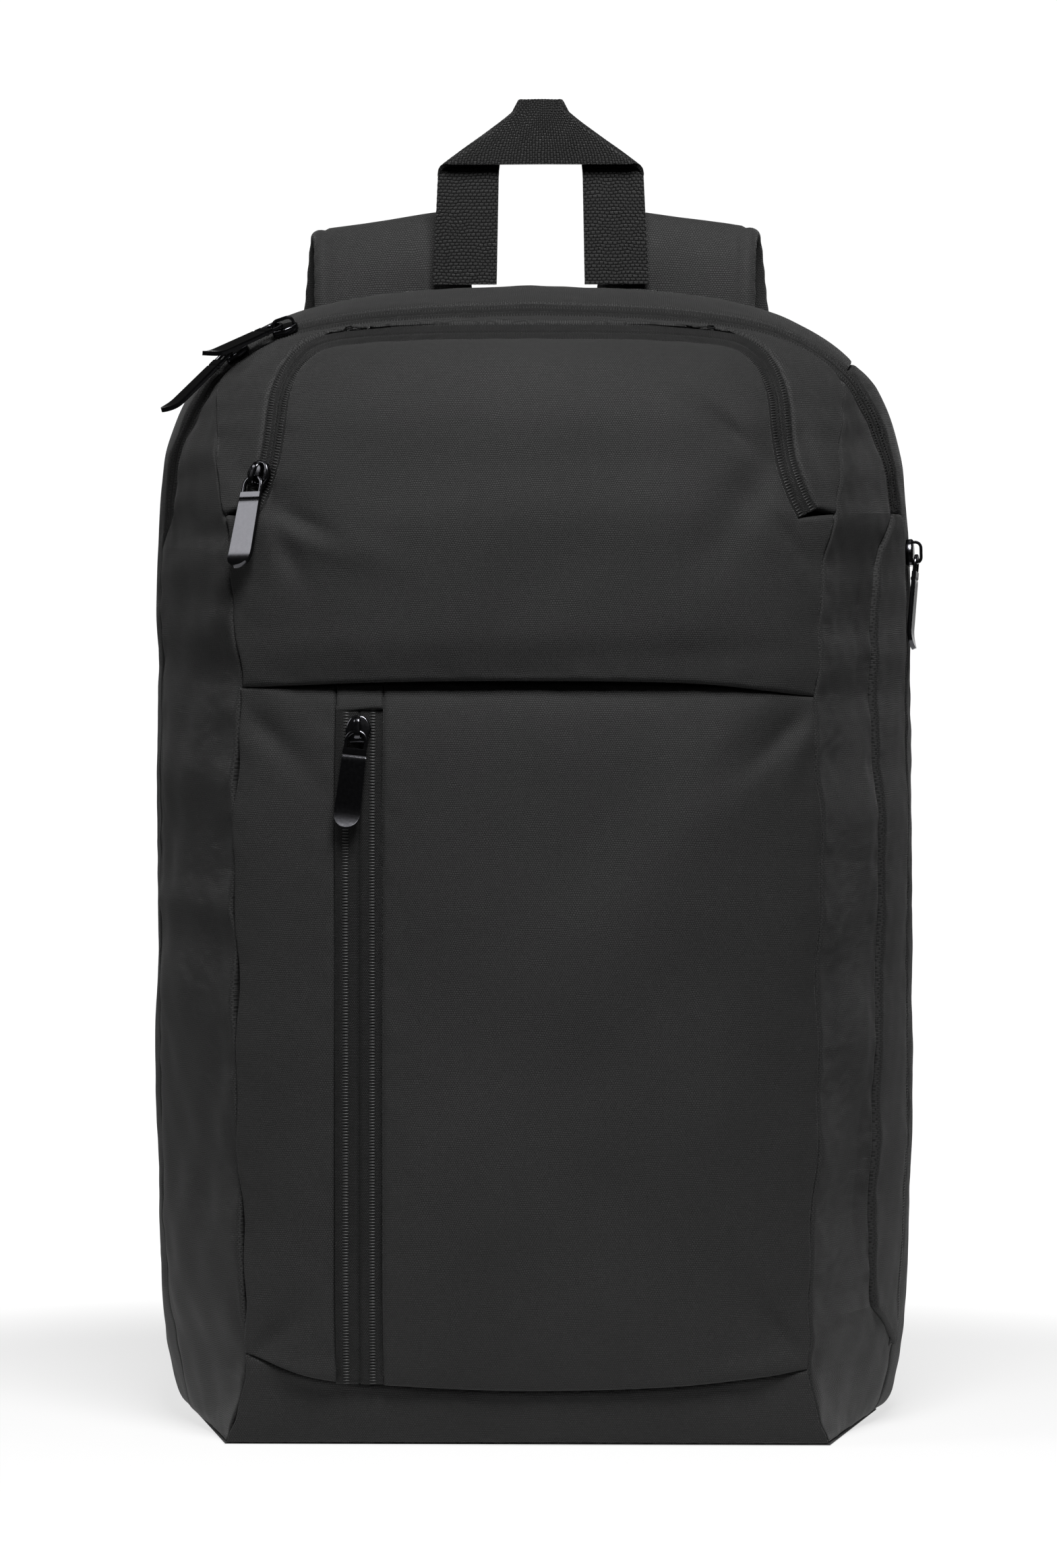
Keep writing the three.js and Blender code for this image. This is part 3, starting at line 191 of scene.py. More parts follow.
# %% [markdown]
# ## Coil, metal and moulded plastic
# The coil of a reverse zip shows through its tape as rows of small nylon ribs, a little glossier than
# the tape. The sliders and pulls are die-cast zinc under a glossy black plating, so they mirror the
# studio darkly. The ladder buckles are moulded acetal with a fine matt grain.

# %% Coil, metal and plastic
COIL = principled("nylon_coil", "#262626", 0.42, specular_ior_level=0.5)
METAL = principled("black_plated_zinc", "#4c4c4f", 0.16, metallic=1.0)
PLASTIC = principled("moulded_acetal", "#151515", 0.45, specular_ior_level=0.5)
scratch = add_node(
    METAL, "ShaderNodeTexNoise",
    {"Vector": add_node(METAL, "ShaderNodeTexCoord").outputs["Object"], "Scale": 900.0, "Detail": 4.0},
)
wear = add_node(
    METAL, "ShaderNodeMapRange", {"Value": scratch.outputs["Fac"], "To Min": 0.12, "To Max": 0.24}
)
feed(METAL, "Roughness", wear.outputs["Result"])
grain = add_node(
    PLASTIC, "ShaderNodeTexNoise",
    {"Vector": add_node(PLASTIC, "ShaderNodeTexCoord").outputs["Object"], "Scale": 1500.0},
)
grain_bump = add_node(
    PLASTIC, "ShaderNodeBump", {"Distance": 0.05 * MM, "Height": grain.outputs["Fac"]}
)
feed(PLASTIC, "Normal", grain_bump.outputs["Normal"])
print("materials:", [m.name for m in bpy.data.materials])

# %% [markdown]
# ## The shell's form
# A filled bag is a loft: a seam runs round its front panels, another round its back panel, and the
# side between them bulges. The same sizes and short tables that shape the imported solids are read
# here, in millimetres, and a smooth curve through each table gives a point anywhere on the bag.

# %% Sizes and tables
BODY_HEIGHT, HALF_WIDTH, HALF_DEPTH = 439.0, 148.0, 60.0
CROWN_POWER = 3.2
BACK_CROWN = 5.0
TAPE_RECESS = 1.0
MAIN_TAPE_WIDTH, DOOR_TAPE_WIDTH, POCKET_TAPE_WIDTH, SIDE_TAPE_WIDTH = 18.0, 8.0, 17.5, 16.0
POCKET_ZIP_X = -61.5
POCKET_COVER_HEIGHT = 10.4
SLIDER_SETBACK = 7.0
SIDE_PANEL_RAISE = 1.2


def table(names, *rows):
    """Columns of a table by name; a row's number is its station where no column says so."""
    data = np.array(rows, float)
    made = {name: data[:, i] for i, name in enumerate(names.split())}
    made.setdefault("station", np.arange(len(rows), dtype=float))
    return made


FRONT_SEAM = table(
    "up out in",
    (0, 0.757, -0.95), (0.02, 0.736, -1), (0.073, 0.703, -1.03), (0.148, 0.716, -1.02),
    (0.25, 0.726, -1.02), (0.365, 0.733, -1.03), (0.478, 0.736, -1.03), (0.57, 0.733, -1.02),
    (0.642, 0.726, -0.98), (0.713, 0.743, -0.93), (0.777, 0.77, -0.82), (0.834, 0.791, -0.6),
    (0.875, 0.8, -0.37), (0.904, 0.797, -0.17), (0.932, 0.703, -0.08), (0.948, 0.568, -0.07),
    (0.957, 0.338, -0.08), (0.961, 0, -0.1),
)
BACK_SEAM = table(
    "up out in",
    (0, 0.905, 0.97), (0.018, 0.949, 1), (0.077, 0.98, 1), (0.15, 0.99, 1),
    (0.255, 0.997, 1), (0.374, 0.997, 1), (0.492, 0.997, 1), (0.588, 0.997, 1),
    (0.661, 0.995, 1), (0.724, 0.993, 1), (0.786, 0.98, 1), (0.843, 0.959, 1),
    (0.888, 0.912, 1), (0.929, 0.831, 1), (0.961, 0.709, 1), (0.982, 0.554, 1),
    (0.995, 0.324, 1), (1, 0, 1),
)
SIDE_FORM = table(
    "bulge coil",
    (0, 0.2), (0.03, 0.2), (0.1, 0.2), (0.14, 0.2), (0.15, 0.2), (0.15, 0.2), (0.15, 0.2),
    (0.15, 0.2), (0.15, 0.2), (0.15, 0.2), (0.145, 0.2), (0.135, 0.12), (0.11, 0.04), (0.07, 0),
    (0.05, 0.03), (0.05, 0.05), (0.05, 0.05), (0.05, 0.05),
)
EAR, TOP_CENTRE = 13, 17
UPPER_CENTRE = table(
    "up in",
    (0.642, -1.22), (0.66, -1.25), (0.69, -1.25), (0.74, -1.235), (0.78, -1.21), (0.82, -1.16),
    (0.866, -1.09), (0.9, -0.97), (0.923, -0.82), (0.938, -0.61), (0.947, -0.43), (0.954, -0.27),
    (0.961, -0.1),
)
LOWER_CENTRE = table(
    "up in",
    (0.04, -1.08), (0.055, -1.13), (0.09, -1.19), (0.14, -1.235), (0.23, -1.26), (0.34, -1.27),
    (0.46, -1.26), (0.57, -1.23), (0.615, -1.18), (0.6415, -1.11),
)
BASE_CENTRE = table("up in", (0, -0.95), (0.02, -1.02), (0.041, -1.045), (0.065, -1.04))
FOLD_LINE = table("across up", (-1, 0.637), (-0.5, 0.641), (0, 0.642), (0.6, 0.6395), (1, 0.629))
LIP_LINE = table(
    "across up",
    (-1, 0.076), (-0.75, 0.056), (-0.4, 0.048), (0, 0.0445), (0.5, 0.048), (0.85, 0.057),
    (1, 0.063),
)
DOOR_ZIP = table(
    "out up",
    (0.707, 0.7835), (0.686, 0.797), (0.666, 0.815), (0.652, 0.834), (0.643, 0.859),
    (0.635, 0.886), (0.615, 0.907), (0.583, 0.9245), (0.54, 0.9355), (0.486, 0.9405),
    (0.405, 0.943), (0.27, 0.9445), (0.135, 0.945), (0, 0.945),
)
SIDE_PANEL_EDGE = table(
    "station edge",
    (2.3, 0.45), (2.7, 0.39), (4, 0.34), (5.5, 0.38), (7, 0.35), (8.6, 0.32), (9.3, 0.335),
    (10, 0.42),
)
SIDE_PANEL_LOW = 2.3

# %% [markdown]
# Folds are the cloth's own story: where a panel is pulled towards a corner it pinches, and where it
# has too much length it dents. Each is a smooth ridge or valley with a centre, a reach, a width, a
# turn and a depth. The first table is in the solids too, and the second is only cloth.

# %% Folds of the front
FOLDS = table(
    "out up reach width turn depth",
    (-0.64, 0.8, 0.16, 0.05, -35, 0.045), (0.58, 0.81, 0.2, 0.06, 55, 0.05),
    (0.66, 0.745, 0.14, 0.05, -60, -0.03), (0.62, 0.6, 0.17, 0.05, 40, 0.045),
    (-0.66, 0.6, 0.15, 0.05, -40, 0.035), (0.63, 0.1, 0.2, 0.045, -50, 0.05),
    (-0.64, 0.095, 0.12, 0.045, 50, 0.05), (0.1, 0.35, 0.6, 0.12, 48, -0.02),
)
CREASES = table(
    "out up reach width turn depth",
    (-0.66, 0.083, 0.11, 0.024, 38, 0.055), (-0.6, 0.064, 0.17, 0.03, -8, -0.05),
    (-0.69, 0.105, 0.09, 0.026, 70, -0.035), (0.66, 0.085, 0.1, 0.024, -48, 0.055),
    (0.62, 0.067, 0.15, 0.028, 6, -0.045), (0.69, 0.1, 0.12, 0.024, -72, 0.05),
    (0.67, 0.606, 0.13, 0.024, 44, 0.055), (0.7, 0.59, 0.1, 0.024, 62, -0.04),
    (-0.68, 0.61, 0.12, 0.024, -42, 0.05), (-0.56, 0.775, 0.12, 0.026, -28, 0.05),
    (-0.5, 0.76, 0.15, 0.04, -20, -0.04), (-0.6, 0.752, 0.09, 0.024, -62, 0.04),
    (0.52, 0.85, 0.13, 0.026, -38, 0.05), (0.58, 0.835, 0.09, 0.024, -52, -0.035),
    (0.71, 0.835, 0.13, 0.024, -66, 0.05), (0.66, 0.76, 0.13, 0.024, -50, 0.05),
    (-0.45, 0.47, 0.7, 0.1, 70, -0.03), (0.35, 0.5, 0.5, 0.13, 52, -0.05),
    (-0.1, 0.2, 0.6, 0.14, 40, -0.03), (0.0, 0.78, 0.9, 0.1, 4, -0.02),
    (0.2, 0.66, 0.9, 0.045, 2, 0.03),
)


def read(rows, key, at, by="station"):
    """Value of a column at places between its rows, with a smooth run through them."""
    x, y = rows[by], rows[key]
    at = np.asarray(at, float)
    slope = np.empty(len(x))
    slope[1:-1] = (y[2:] - y[:-2]) / (x[2:] - x[:-2])
    slope[0] = (y[1] - y[0]) / (x[1] - x[0])
    slope[-1] = (y[-1] - y[-2]) / (x[-1] - x[-2])
    i = np.searchsorted(x[1:-1], at, side="left")
    span = x[i + 1] - x[i]
    s = np.clip((at - x[i]) / span, 0, 1)
    return (
        y[i] * (2 * s**3 - 3 * s**2 + 1) + span * slope[i] * (s**3 - 2 * s**2 + s)
        + y[i + 1] * (3 * s**2 - 2 * s**3) + span * slope[i + 1] * (s**3 - s**2)
    )


def lerp(a, b, share):
    return a + (b - a) * share


def unit(vectors):
    return vectors / np.maximum(np.linalg.norm(vectors, axis=-1, keepdims=True), 1e-9)


def place(x, y, z):
    return np.stack(np.broadcast_arrays(x, y, z), -1).astype(float)


# %% [markdown]
# Points on the sides and on the front come from these functions. The front's depth runs from its
# middle profile to the seam with a high power of the distance across, which gives the flat middle
# and the quick turn at the edges that a stuffed pocket has.
#
# Sewn seams don't run as straight as the tables: the thread draws them in every few centimetres, and
# the left one has a notch where the gusset folds over it. The ripple moves the seam itself, so both
# neighbours follow it.


# %% Surfaces
RIPPLE, NOTCH = 0.006, 2.6
NOTCH_STATION, NOTCH_REACH = 5.75, 0.16
RIPPLE_END = 12.5


def ripple(station, side):
    """How far the front seam strays outwards, as a share of the half width; none at the base."""
    even = np.sin(3.1 * station + side) + 0.6 * np.sin(7.3 * station - 2 * side)
    depth = np.where(np.asarray(side) < 0, NOTCH, 0.0)
    notch = depth * np.exp(-(((station - NOTCH_STATION) / NOTCH_REACH) ** 2))
    fade = np.clip(station / 2, 0, 1) * np.clip((RIPPLE_END - station) / 2, 0, 1)
    return RIPPLE * (even + notch) * fade


def seam(rows, station, side, fine=1.0):
    """Point on a seam; fine is 0 for the plain form of the solids, without ripple and creases."""
    stray = fine * ripple(np.asarray(station, float), side) if rows is FRONT_SEAM else 0.0
    return place(
        side * HALF_WIDTH * (read(rows, "out", station) + stray),
        HALF_DEPTH * read(rows, "in", station),
        BODY_HEIGHT * read(rows, "up", station),
    )


def side_point(station, share, side, fine=1.0):
    """Point of the side or top between the front seam (share 0) and the back seam (share 1)."""
    step = 0.05
    below = seam(BACK_SEAM, np.maximum(station - step, 0), side)
    above = seam(BACK_SEAM, np.minimum(station + step, TOP_CENTRE), side)
    run = above - below
    out = unit(place(side * run[..., 2], 0, -side * run[..., 0]))
    flat = np.asarray(station)[..., None] >= TOP_CENTRE - step
    out = np.where(flat, np.array([0.0, 0, 1]), out)
    bulge = HALF_DEPTH * read(SIDE_FORM, "bulge", station) * 4 * share * (1 - share)
    front, back = seam(FRONT_SEAM, station, side, fine), seam(BACK_SEAM, station, side)
    share = np.asarray(share)[..., None]
    return lerp(front, back, share) + out * np.asarray(bulge)[..., None]


def main_zip_share(station, across):
    front, back = seam(FRONT_SEAM, station, 1), seam(BACK_SEAM, station, 1)
    coil = HALF_DEPTH * read(SIDE_FORM, "coil", station)
    return np.maximum((coil - front[..., 1] + across) / (back[..., 1] - front[..., 1]), 0)


DENSE = np.linspace(0, TOP_CENTRE, 6801)
DENSE_UP = read(FRONT_SEAM, "up", DENSE)


def station_at(height):
    return np.interp(np.asarray(height) / BODY_HEIGHT, DENSE_UP, DENSE)


def fold_height(across):
    return BODY_HEIGHT * read(FOLD_LINE, "up", across, "across")


def lip_height(across):
    return BODY_HEIGHT * read(LIP_LINE, "up", across, "across")


def fold_depth(x, z, folds):
    depth = np.zeros(np.broadcast(x, z).shape)
    for k in range(len(folds["out"])):
        dx = x - HALF_WIDTH * folds["out"][k]
        dz = z - BODY_HEIGHT * folds["up"][k]
        turn = math.radians(folds["turn"][k])
        along = (dx * math.cos(turn) + dz * math.sin(turn)) / (HALF_WIDTH * folds["reach"][k])
        across = (dz * math.cos(turn) - dx * math.sin(turn)) / (HALF_WIDTH * folds["width"][k])
        depth += HALF_DEPTH * folds["depth"][k] * np.exp(-along * along - across * across)
    return depth


def front_depth(profile, x, z, fine=1.0):
    centre = HALF_DEPTH * read(profile, "in", z / BODY_HEIGHT, "up")
    edge = seam(FRONT_SEAM, station_at(z), 1, fine)
    share = np.minimum(np.abs(x) / np.maximum(edge[..., 0], 1), 1)
    folds = fold_depth(x, z, FOLDS) + fine * fold_depth(x, z, CREASES)
    return lerp(centre, edge[..., 1], share**CROWN_POWER) + folds * (1 - share**8)


CORE_LOW = np.array([-HALF_WIDTH * 0.4, -HALF_DEPTH * 0.25, BODY_HEIGHT * 0.14])
CORE_HIGH = np.array([HALF_WIDTH * 0.4, HALF_DEPTH * 0.4, BODY_HEIGHT * 0.84])


def inward(points):
    """Direction that all cloth thickness points in, towards an inner box of the bag."""
    return unit(np.clip(points, CORE_LOW, CORE_HIGH) - points)


def front_point(profile, x, z, recess=0.0, fine=1.0):
    points = place(x, front_depth(profile, x, z, fine), z)
    return points + inward(points) * recess


# %% [markdown]
# ## Rows that neighbours share
# Panels that meet along a seam have to agree on its line, so one list of stations up each side is
# shared by all of them, and positions between two rows are read off it.

# %% Shared rows
BASE_ROWS, LOWER_ROWS, UPPER_ROWS, EAR_ROWS, TOP_ROWS = 2, 13, 5, 5, 7
LIP_ROW = BASE_ROWS
FOLD_ROW = LIP_ROW + LOWER_ROWS
DOOR_ROW = FOLD_ROW + UPPER_ROWS
EAR_ROW = DOOR_ROW + EAR_ROWS
TOP_ROW = EAR_ROW + TOP_ROWS
DOOR_ZIP_END = DOOR_ZIP["up"][0] * BODY_HEIGHT
SIDE_ZIP_FRONT = 0.65
SIDE_ZIP_REAR = SIDE_ZIP_FRONT + SIDE_TAPE_WIDTH / (2 * HALF_DEPTH)
LEFT_SEAM = 0.7
TAPER = 0.008


def side_stations(side):
    lip, fold = lip_height(side), fold_height(side)
    door = station_at(DOOR_ZIP_END)
    rows = np.concatenate([
        station_at(np.linspace(0, lip, BASE_ROWS + 1)[:-1]),
        station_at(np.linspace(lip, fold, LOWER_ROWS + 1)[:-1]),
        station_at(np.linspace(fold, DOOR_ZIP_END, UPPER_ROWS + 1)[:-1]),
        np.linspace(door, EAR, EAR_ROWS + 1)[:-1],
        np.linspace(EAR, TOP_CENTRE, TOP_ROWS + 1),
    ])
    rows[0] = 0
    return rows


STATIONS = {side: side_stations(side) for side in (-1, 1)}
SIDE_PANEL_ROW = int(np.argmax(STATIONS[1] >= SIDE_PANEL_LOW))


def station_of(side, row):
    return np.interp(row, np.arange(TOP_ROW + 1), STATIONS[side])


def side_cuts(side):
    """At each row, shares where the front gusset ends, the zip's middle lies and the rear starts."""
    cuts = []
    for row, station in enumerate(STATIONS[side]):
        if row >= DOOR_ROW:
            low = max(main_zip_share(station, -MAIN_TAPE_WIDTH / 2), TAPER * (row == EAR_ROW))
            high = main_zip_share(station, MAIN_TAPE_WIDTH / 2)
            cuts.append((low, (low + high) / 2, high))
        elif side < 0:
            gap = TAPER * (row == DOOR_ROW - 1)
            cuts.append((LEFT_SEAM - gap, LEFT_SEAM, LEFT_SEAM + gap))
        elif row >= SIDE_PANEL_ROW:
            edge = read(SIDE_PANEL_EDGE, "edge", station)
            cuts.append((edge, SIDE_ZIP_FRONT, SIDE_ZIP_REAR))
        else:
            gap = TAPER * (row == SIDE_PANEL_ROW - 1)
            cuts.append((SIDE_ZIP_REAR - 2 * gap, SIDE_ZIP_REAR - gap, SIDE_ZIP_REAR))
    return np.array(cuts, float)


CUTS = {side: side_cuts(side) for side in (-1, 1)}
GUSSET, ZIP, REAR = 0, 1, 2


def cut_at(side, row, which):
    return np.interp(row, np.arange(TOP_ROW + 1), CUTS[side][:, which])


def side_by_row(side, row, share):
    return side_point(station_of(side, row), share, side)


def over_top(row, first):
    """Side and row on a path that climbs the left side and comes down the right."""
    count = TOP_ROW - first
    left = row <= count
    return left, np.where(left, first + row, TOP_ROW - (row - count))


def over_points(path, first, share_of):
    """Points on such a path, at the share of the side that a function of side and row gives."""
    left, row = over_top(path, first)
    grids = [side_by_row(value, row, share_of(value, row)) for value in (-1, 1)]
    return np.where(left[..., None], *grids)


# %% [markdown]
# ## Sewing a panel
# A real panel is cut from flat cloth and turned in at its edges, so its rim rolls down into the seam
# and a strip of it, the seam allowance, hides inside. The same is done here. A grid takes the panel's
# shape, points near its rim sink along a quarter circle, the rim is extruded inwards, and Solidify
# gives the cloth its thickness. Slow waves and small puckers along the rim keep it from looking
# like sheet metal. The UV map counts millimetres along the threads for the weave.

# %% Cloth tools
rng = np.random.default_rng(7)
WAVES = rng.normal(size=(24, 3))
PHASES = rng.uniform(0, 2 * math.pi, 24)


def wobble(points, length, first):
    """Smooth uneven height from -1 to 1 with waves of about a length, from six fixed directions."""
    total = 0
    for k in range(first, first + 6):
        wave = unit(WAVES[k]) * (2 * math.pi / (length * (0.7 + 0.12 * (k - first))))
        total = total + np.sin(points @ wave + PHASES[k])
    return total / 3


def spread(length, step=2.0):
    """Shares from 0 to 1 along a length in millimetres, closer together where cloth rolls in."""
    edge = np.array([0, 0.3, 0.7, 1.2, 1.8, 2.6, 3.6])
    if length < 4 * edge[-1]:
        return np.linspace(0, 1, max(int(length / 0.8), 4))
    count = max(int(round((length - 2 * edge[-1]) / step)), 1)
    middle = np.linspace(edge[-1], length - edge[-1], count + 1)
    return np.concatenate([edge[:-1], middle, (length - edge[:-1])[::-1]]) / length


def walked(points, axis):
    """Distance walked along a grid's axis, averaged over the other one, as thread coordinates."""
    steps = np.linalg.norm(np.diff(points, axis=axis), axis=-1)
    return np.concatenate([[0], np.cumsum(steps.mean(axis=1 - axis))])


def run_of(line):
    """Distance walked from the start of a line to each of its points."""
    return np.concatenate([[0], np.cumsum(np.linalg.norm(np.diff(line, axis=0), axis=1))])


def along_line(line, run, places):
    """Points of a line at distances walked along it."""
    return np.stack([np.interp(places, run, column) for column in line.T], -1)


def select(*objects):
    """Selects these objects only, the first of them as the active one."""
    bpy.ops.object.select_all(action="DESELECT")
    for item in objects:
        item.select_set(True)
    bpy.context.view_layer.objects.active = objects[0]


def on_all_faces(operator, **settings):
    """Runs a mesh operator on all faces of the active object."""
    bpy.ops.object.mode_set(mode="EDIT")
    bpy.ops.mesh.select_all(action="SELECT")
    operator(**settings)
    bpy.ops.object.mode_set(mode="OBJECT")


def mesh_object(name, corners, faces):
    """A new selected object from corners in millimetres and faces."""
    mesh = bpy.data.meshes.new(name)
    mesh.from_pydata((corners * MM).tolist(), [], faces)
    made = bpy.data.objects.new(name, mesh)
    scene.collection.objects.link(made)
    select(made)
    return made


def map_threads(mesh, uv):
    """Writes each vertex's thread coordinates to the mesh's map of the cloth."""
    corners = np.empty(len(mesh.loops), dtype=np.int32)
    mesh.loops.foreach_get("vertex_index", corners)
    mesh.uv_layers["cloth"].uv.foreach_set("vector", uv.reshape(-1, 2)[corners].ravel())


def grid_object(name, points, uv=None, keep=None):
    """A grid of rows and columns of points in millimetres, as an object with its thread map."""
    rows, columns = points.shape[0] - 1, points.shape[1] - 1
    bpy.ops.object.select_all(action="DESELECT")
    bpy.ops.mesh.primitive_grid_add(x_subdivisions=columns, y_subdivisions=rows, size=1)
    made = bpy.context.object
    made.name = name
    mesh = made.data
    mesh.vertices.foreach_set("co", (points * MM).ravel())
    mesh.uv_layers.active.name = "cloth"
    if uv is None:
        uv = np.stack(np.meshgrid(walked(points, 1), walked(points, 0)), -1)
    map_threads(mesh, uv)
    if keep is not None:
        work = bmesh.new()
        work.from_mesh(mesh)
        work.faces.ensure_lookup_table()
        gone = [work.faces[i] for i in np.nonzero(~keep.ravel())[0]]
        bmesh.ops.delete(work, geom=gone, context="FACES")
        work.to_mesh(mesh)
        work.free()
    mesh.update()
    return made


def coordinates(mesh):
    values = np.empty(len(mesh.vertices) * 3)
    mesh.vertices.foreach_get("co", values)
    return values.reshape(-1, 3) / MM


def rim_vertices(mesh):
    """Numbers of the vertices on open edges."""
    work = bmesh.new()
    work.from_mesh(mesh)
    found = sorted({v.index for e in work.edges if e.is_boundary for v in e.verts})
    work.free()
    return np.array(found)


def finish_piece(made, nodes, material, body="bag"):
    """Material, slot, body and stand-in for a finished piece."""
    made.data.materials.clear()
    made.data.materials.append(material)
    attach(made, body)
    if nodes:
        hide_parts(*nodes)
    triangles = sum(len(p.vertices) - 2 for p in made.data.polygons)
    print(f"{made.name}: {triangles} triangles")
    return made


def face_outwards(made):
    """Turns an open grid round where its faces point at the bag's inner box."""
    points = coordinates(made.data)
    normals = np.empty(len(made.data.vertices) * 3)
    made.data.vertices.foreach_get("normal", normals)
    if (normals.reshape(-1, 3) * inward(points)).sum() > 0:
        on_all_faces(bpy.ops.mesh.flip_normals)


def apply_modifier(made, name, kind, **settings):
    modifier = made.modifiers.new(name, kind)
    for key, value in settings.items():
        setattr(modifier, key, value)
    bpy.ops.object.modifier_apply(modifier=modifier.name)


PUCKER_START, PUCKER_REACH, PUCKER_LENGTH = 2.5, 9.0, 13.0
WAVE_START, LONG_WAVE, SHORT_WAVE, SHORT_SHARE = 12.0, 90.0, 31.0, 0.35


def sew(made, roll=1.7, pull=0.7, pull_reach=6.0, pucker=0.35, wave=0.35, tuck=2.6, wall=0.9):
    """Rolls a panel's rim down, tucks its allowance in and thickens it, all in millimetres."""
    mesh = made.data
    face_outwards(made)
    points = coordinates(mesh)
    rim = rim_vertices(mesh)
    tree = KDTree(len(rim))
    for n, i in enumerate(rim):
        tree.insert(points[i], n)
    tree.balance()
    distance = np.array([tree.find(p)[2] for p in points])
    near = np.clip(1 - distance / roll, 0, 1)
    sunk = roll * (1 - np.sqrt(1 - near * near)) + pull * np.exp(-distance / pull_reach)
    close = np.exp(-distance / PUCKER_REACH) * np.clip(distance / PUCKER_START, 0, 1)
    sunk += pucker * close * wobble(points, PUCKER_LENGTH, 6)
    inside = np.clip(distance / WAVE_START, 0, 1)
    slow = wobble(points, LONG_WAVE, 0) + SHORT_SHARE * wobble(points, SHORT_WAVE, 12)
    sunk += wave * inside * slow
    points = points + inward(points) * sunk[:, None]
    mesh.vertices.foreach_set("co", (points * MM).ravel())
    bpy.ops.object.mode_set(mode="EDIT")
    bpy.ops.mesh.select_mode(type="EDGE")
    bpy.ops.mesh.select_all(action="DESELECT")
    bpy.ops.mesh.select_non_manifold(
        extend=False, use_wire=False, use_boundary=True, use_multi_face=False,
        use_non_contiguous=False, use_verts=False,
    )
    bpy.ops.mesh.extrude_edges_move()
    bpy.ops.object.mode_set(mode="OBJECT")
    points = coordinates(mesh)
    chosen = np.empty(len(mesh.vertices), dtype=bool)
    mesh.vertices.foreach_get("select", chosen)
    points[chosen] += inward(points[chosen]) * tuck
    mesh.vertices.foreach_set("co", (points * MM).ravel())
    mesh.update()
    apply_modifier(made, "cloth", "SOLIDIFY", thickness=wall * MM, offset=-1)
    bpy.ops.object.shade_smooth()
    return made


def panel(name, points, uv=None, keep=None, **how):
    made = sew(grid_object(name + "_cloth", points, uv, keep), **how)
    return finish_piece(made, [name], BODY_CLOTH)


# %% [markdown]
# ## The front's lower panels
# The pocket's cloth is cut in two along its upright zip. Each part runs from the front seam to the
# zip's edge, from the lip over the base strip up to the long fold line under the upper panel.


# %% Lower front
SEAM_OUT, FRONT_REACH, LOWER_HEIGHT = 0.73, 108.0, 250.0


def across_of(x):
    """Share of the half width at about the front seam's usual distance from the middle."""
    return x / (HALF_WIDTH * SEAM_OUT)


def front_line(share, across, bottom, top):
    """Place on the front for a share of the height and of the half width, seam at -1 and 1."""
    sign = np.where(across < 0, -1.0, 1.0)
    z = lerp(bottom(across), top(across), share)
    edge = seam(FRONT_SEAM, station_at(lerp(bottom(sign), top(sign), share)), 1)
    return across * edge[..., 0], z


def front_uv(x, z, profile):
    """Thread map of a front panel: across it, and up along its middle profile."""
    up = np.linspace(0, BODY_HEIGHT, 800)
    deep = HALF_DEPTH * read(profile, "in", up / BODY_HEIGHT, "up")
    return np.stack([x, np.interp(z, up, run_of(np.stack([up, deep], -1)))], -1)


def lower_panel(name, side, zip_x):
    shares = spread(LOWER_HEIGHT)[:, None]
    across = lerp(side, across_of(zip_x), spread(abs(side * FRONT_REACH - zip_x))[None, :])
    x, z = front_line(shares, across, lip_height, fold_height)
    reach = (across - side) / (across_of(zip_x) - side)
    x = x + (zip_x - x[:, -1:]) * reach**3
    points = place(x, front_depth(LOWER_CENTRE, x, z), z)
    uv = front_uv(x, z, LOWER_CENTRE)
    if side > 0:
        points, uv = points[:, ::-1], uv[:, ::-1]
    return panel(name, points, uv)


lower_panel("lower_front_left", -1, POCKET_ZIP_X - POCKET_TAPE_WIDTH / 2)
lower_panel("lower_front_right", 1, POCKET_ZIP_X + POCKET_TAPE_WIDTH / 2)

# %% [markdown]
# ## Zip tapes with their coil
# These are reverse coil zips: the coil lies inside, and outside one sees two woven tapes that meet in
# a fine split, each with a band of small ribs where the coil's stitches hold it. One rib is modelled
# as a low dome of few faces, and copied along the band at the coil's pitch of 1.1 mm.

# %% Zip tools
COIL_PITCH = 1.11
RIB_LENGTH, RIB_WIDTH, RIB_HEIGHT = 2.7, 0.62, 0.32
WIDE_BANDS, SIDE_BANDS, DOOR_BANDS = (-4.9, 4.9), (-4.6, 4.6), (2.4, -2.4)
TAPE_THICKNESS, SPLIT_HALF, SPLIT_DEPTH = 0.8, 0.02, 0.55
TAPE_COLUMNS = np.array(
    [-0.5, -0.36, -0.22, -0.1, -0.035, -0.012, 0.012, 0.035, 0.1, 0.22, 0.36, 0.5]
)


def rib_shape():
    """One rib: a half-buried lozenge of a few faces, along x, in millimetres."""
    bpy.ops.object.select_all(action="DESELECT")
    bpy.ops.mesh.primitive_uv_sphere_add(segments=8, ring_count=4, radius=0.5)
    ball = bpy.context.object
    corners = coordinates(ball.data) * MM
    faces = [tuple(p.vertices) for p in ball.data.polygons]
    bpy.ops.object.delete()
    turned = corners[:, [2, 0, 1]]
    return turned * np.array([RIB_LENGTH, RIB_WIDTH, 2 * RIB_HEIGHT]), faces


RIB, RIB_FACES = rib_shape()


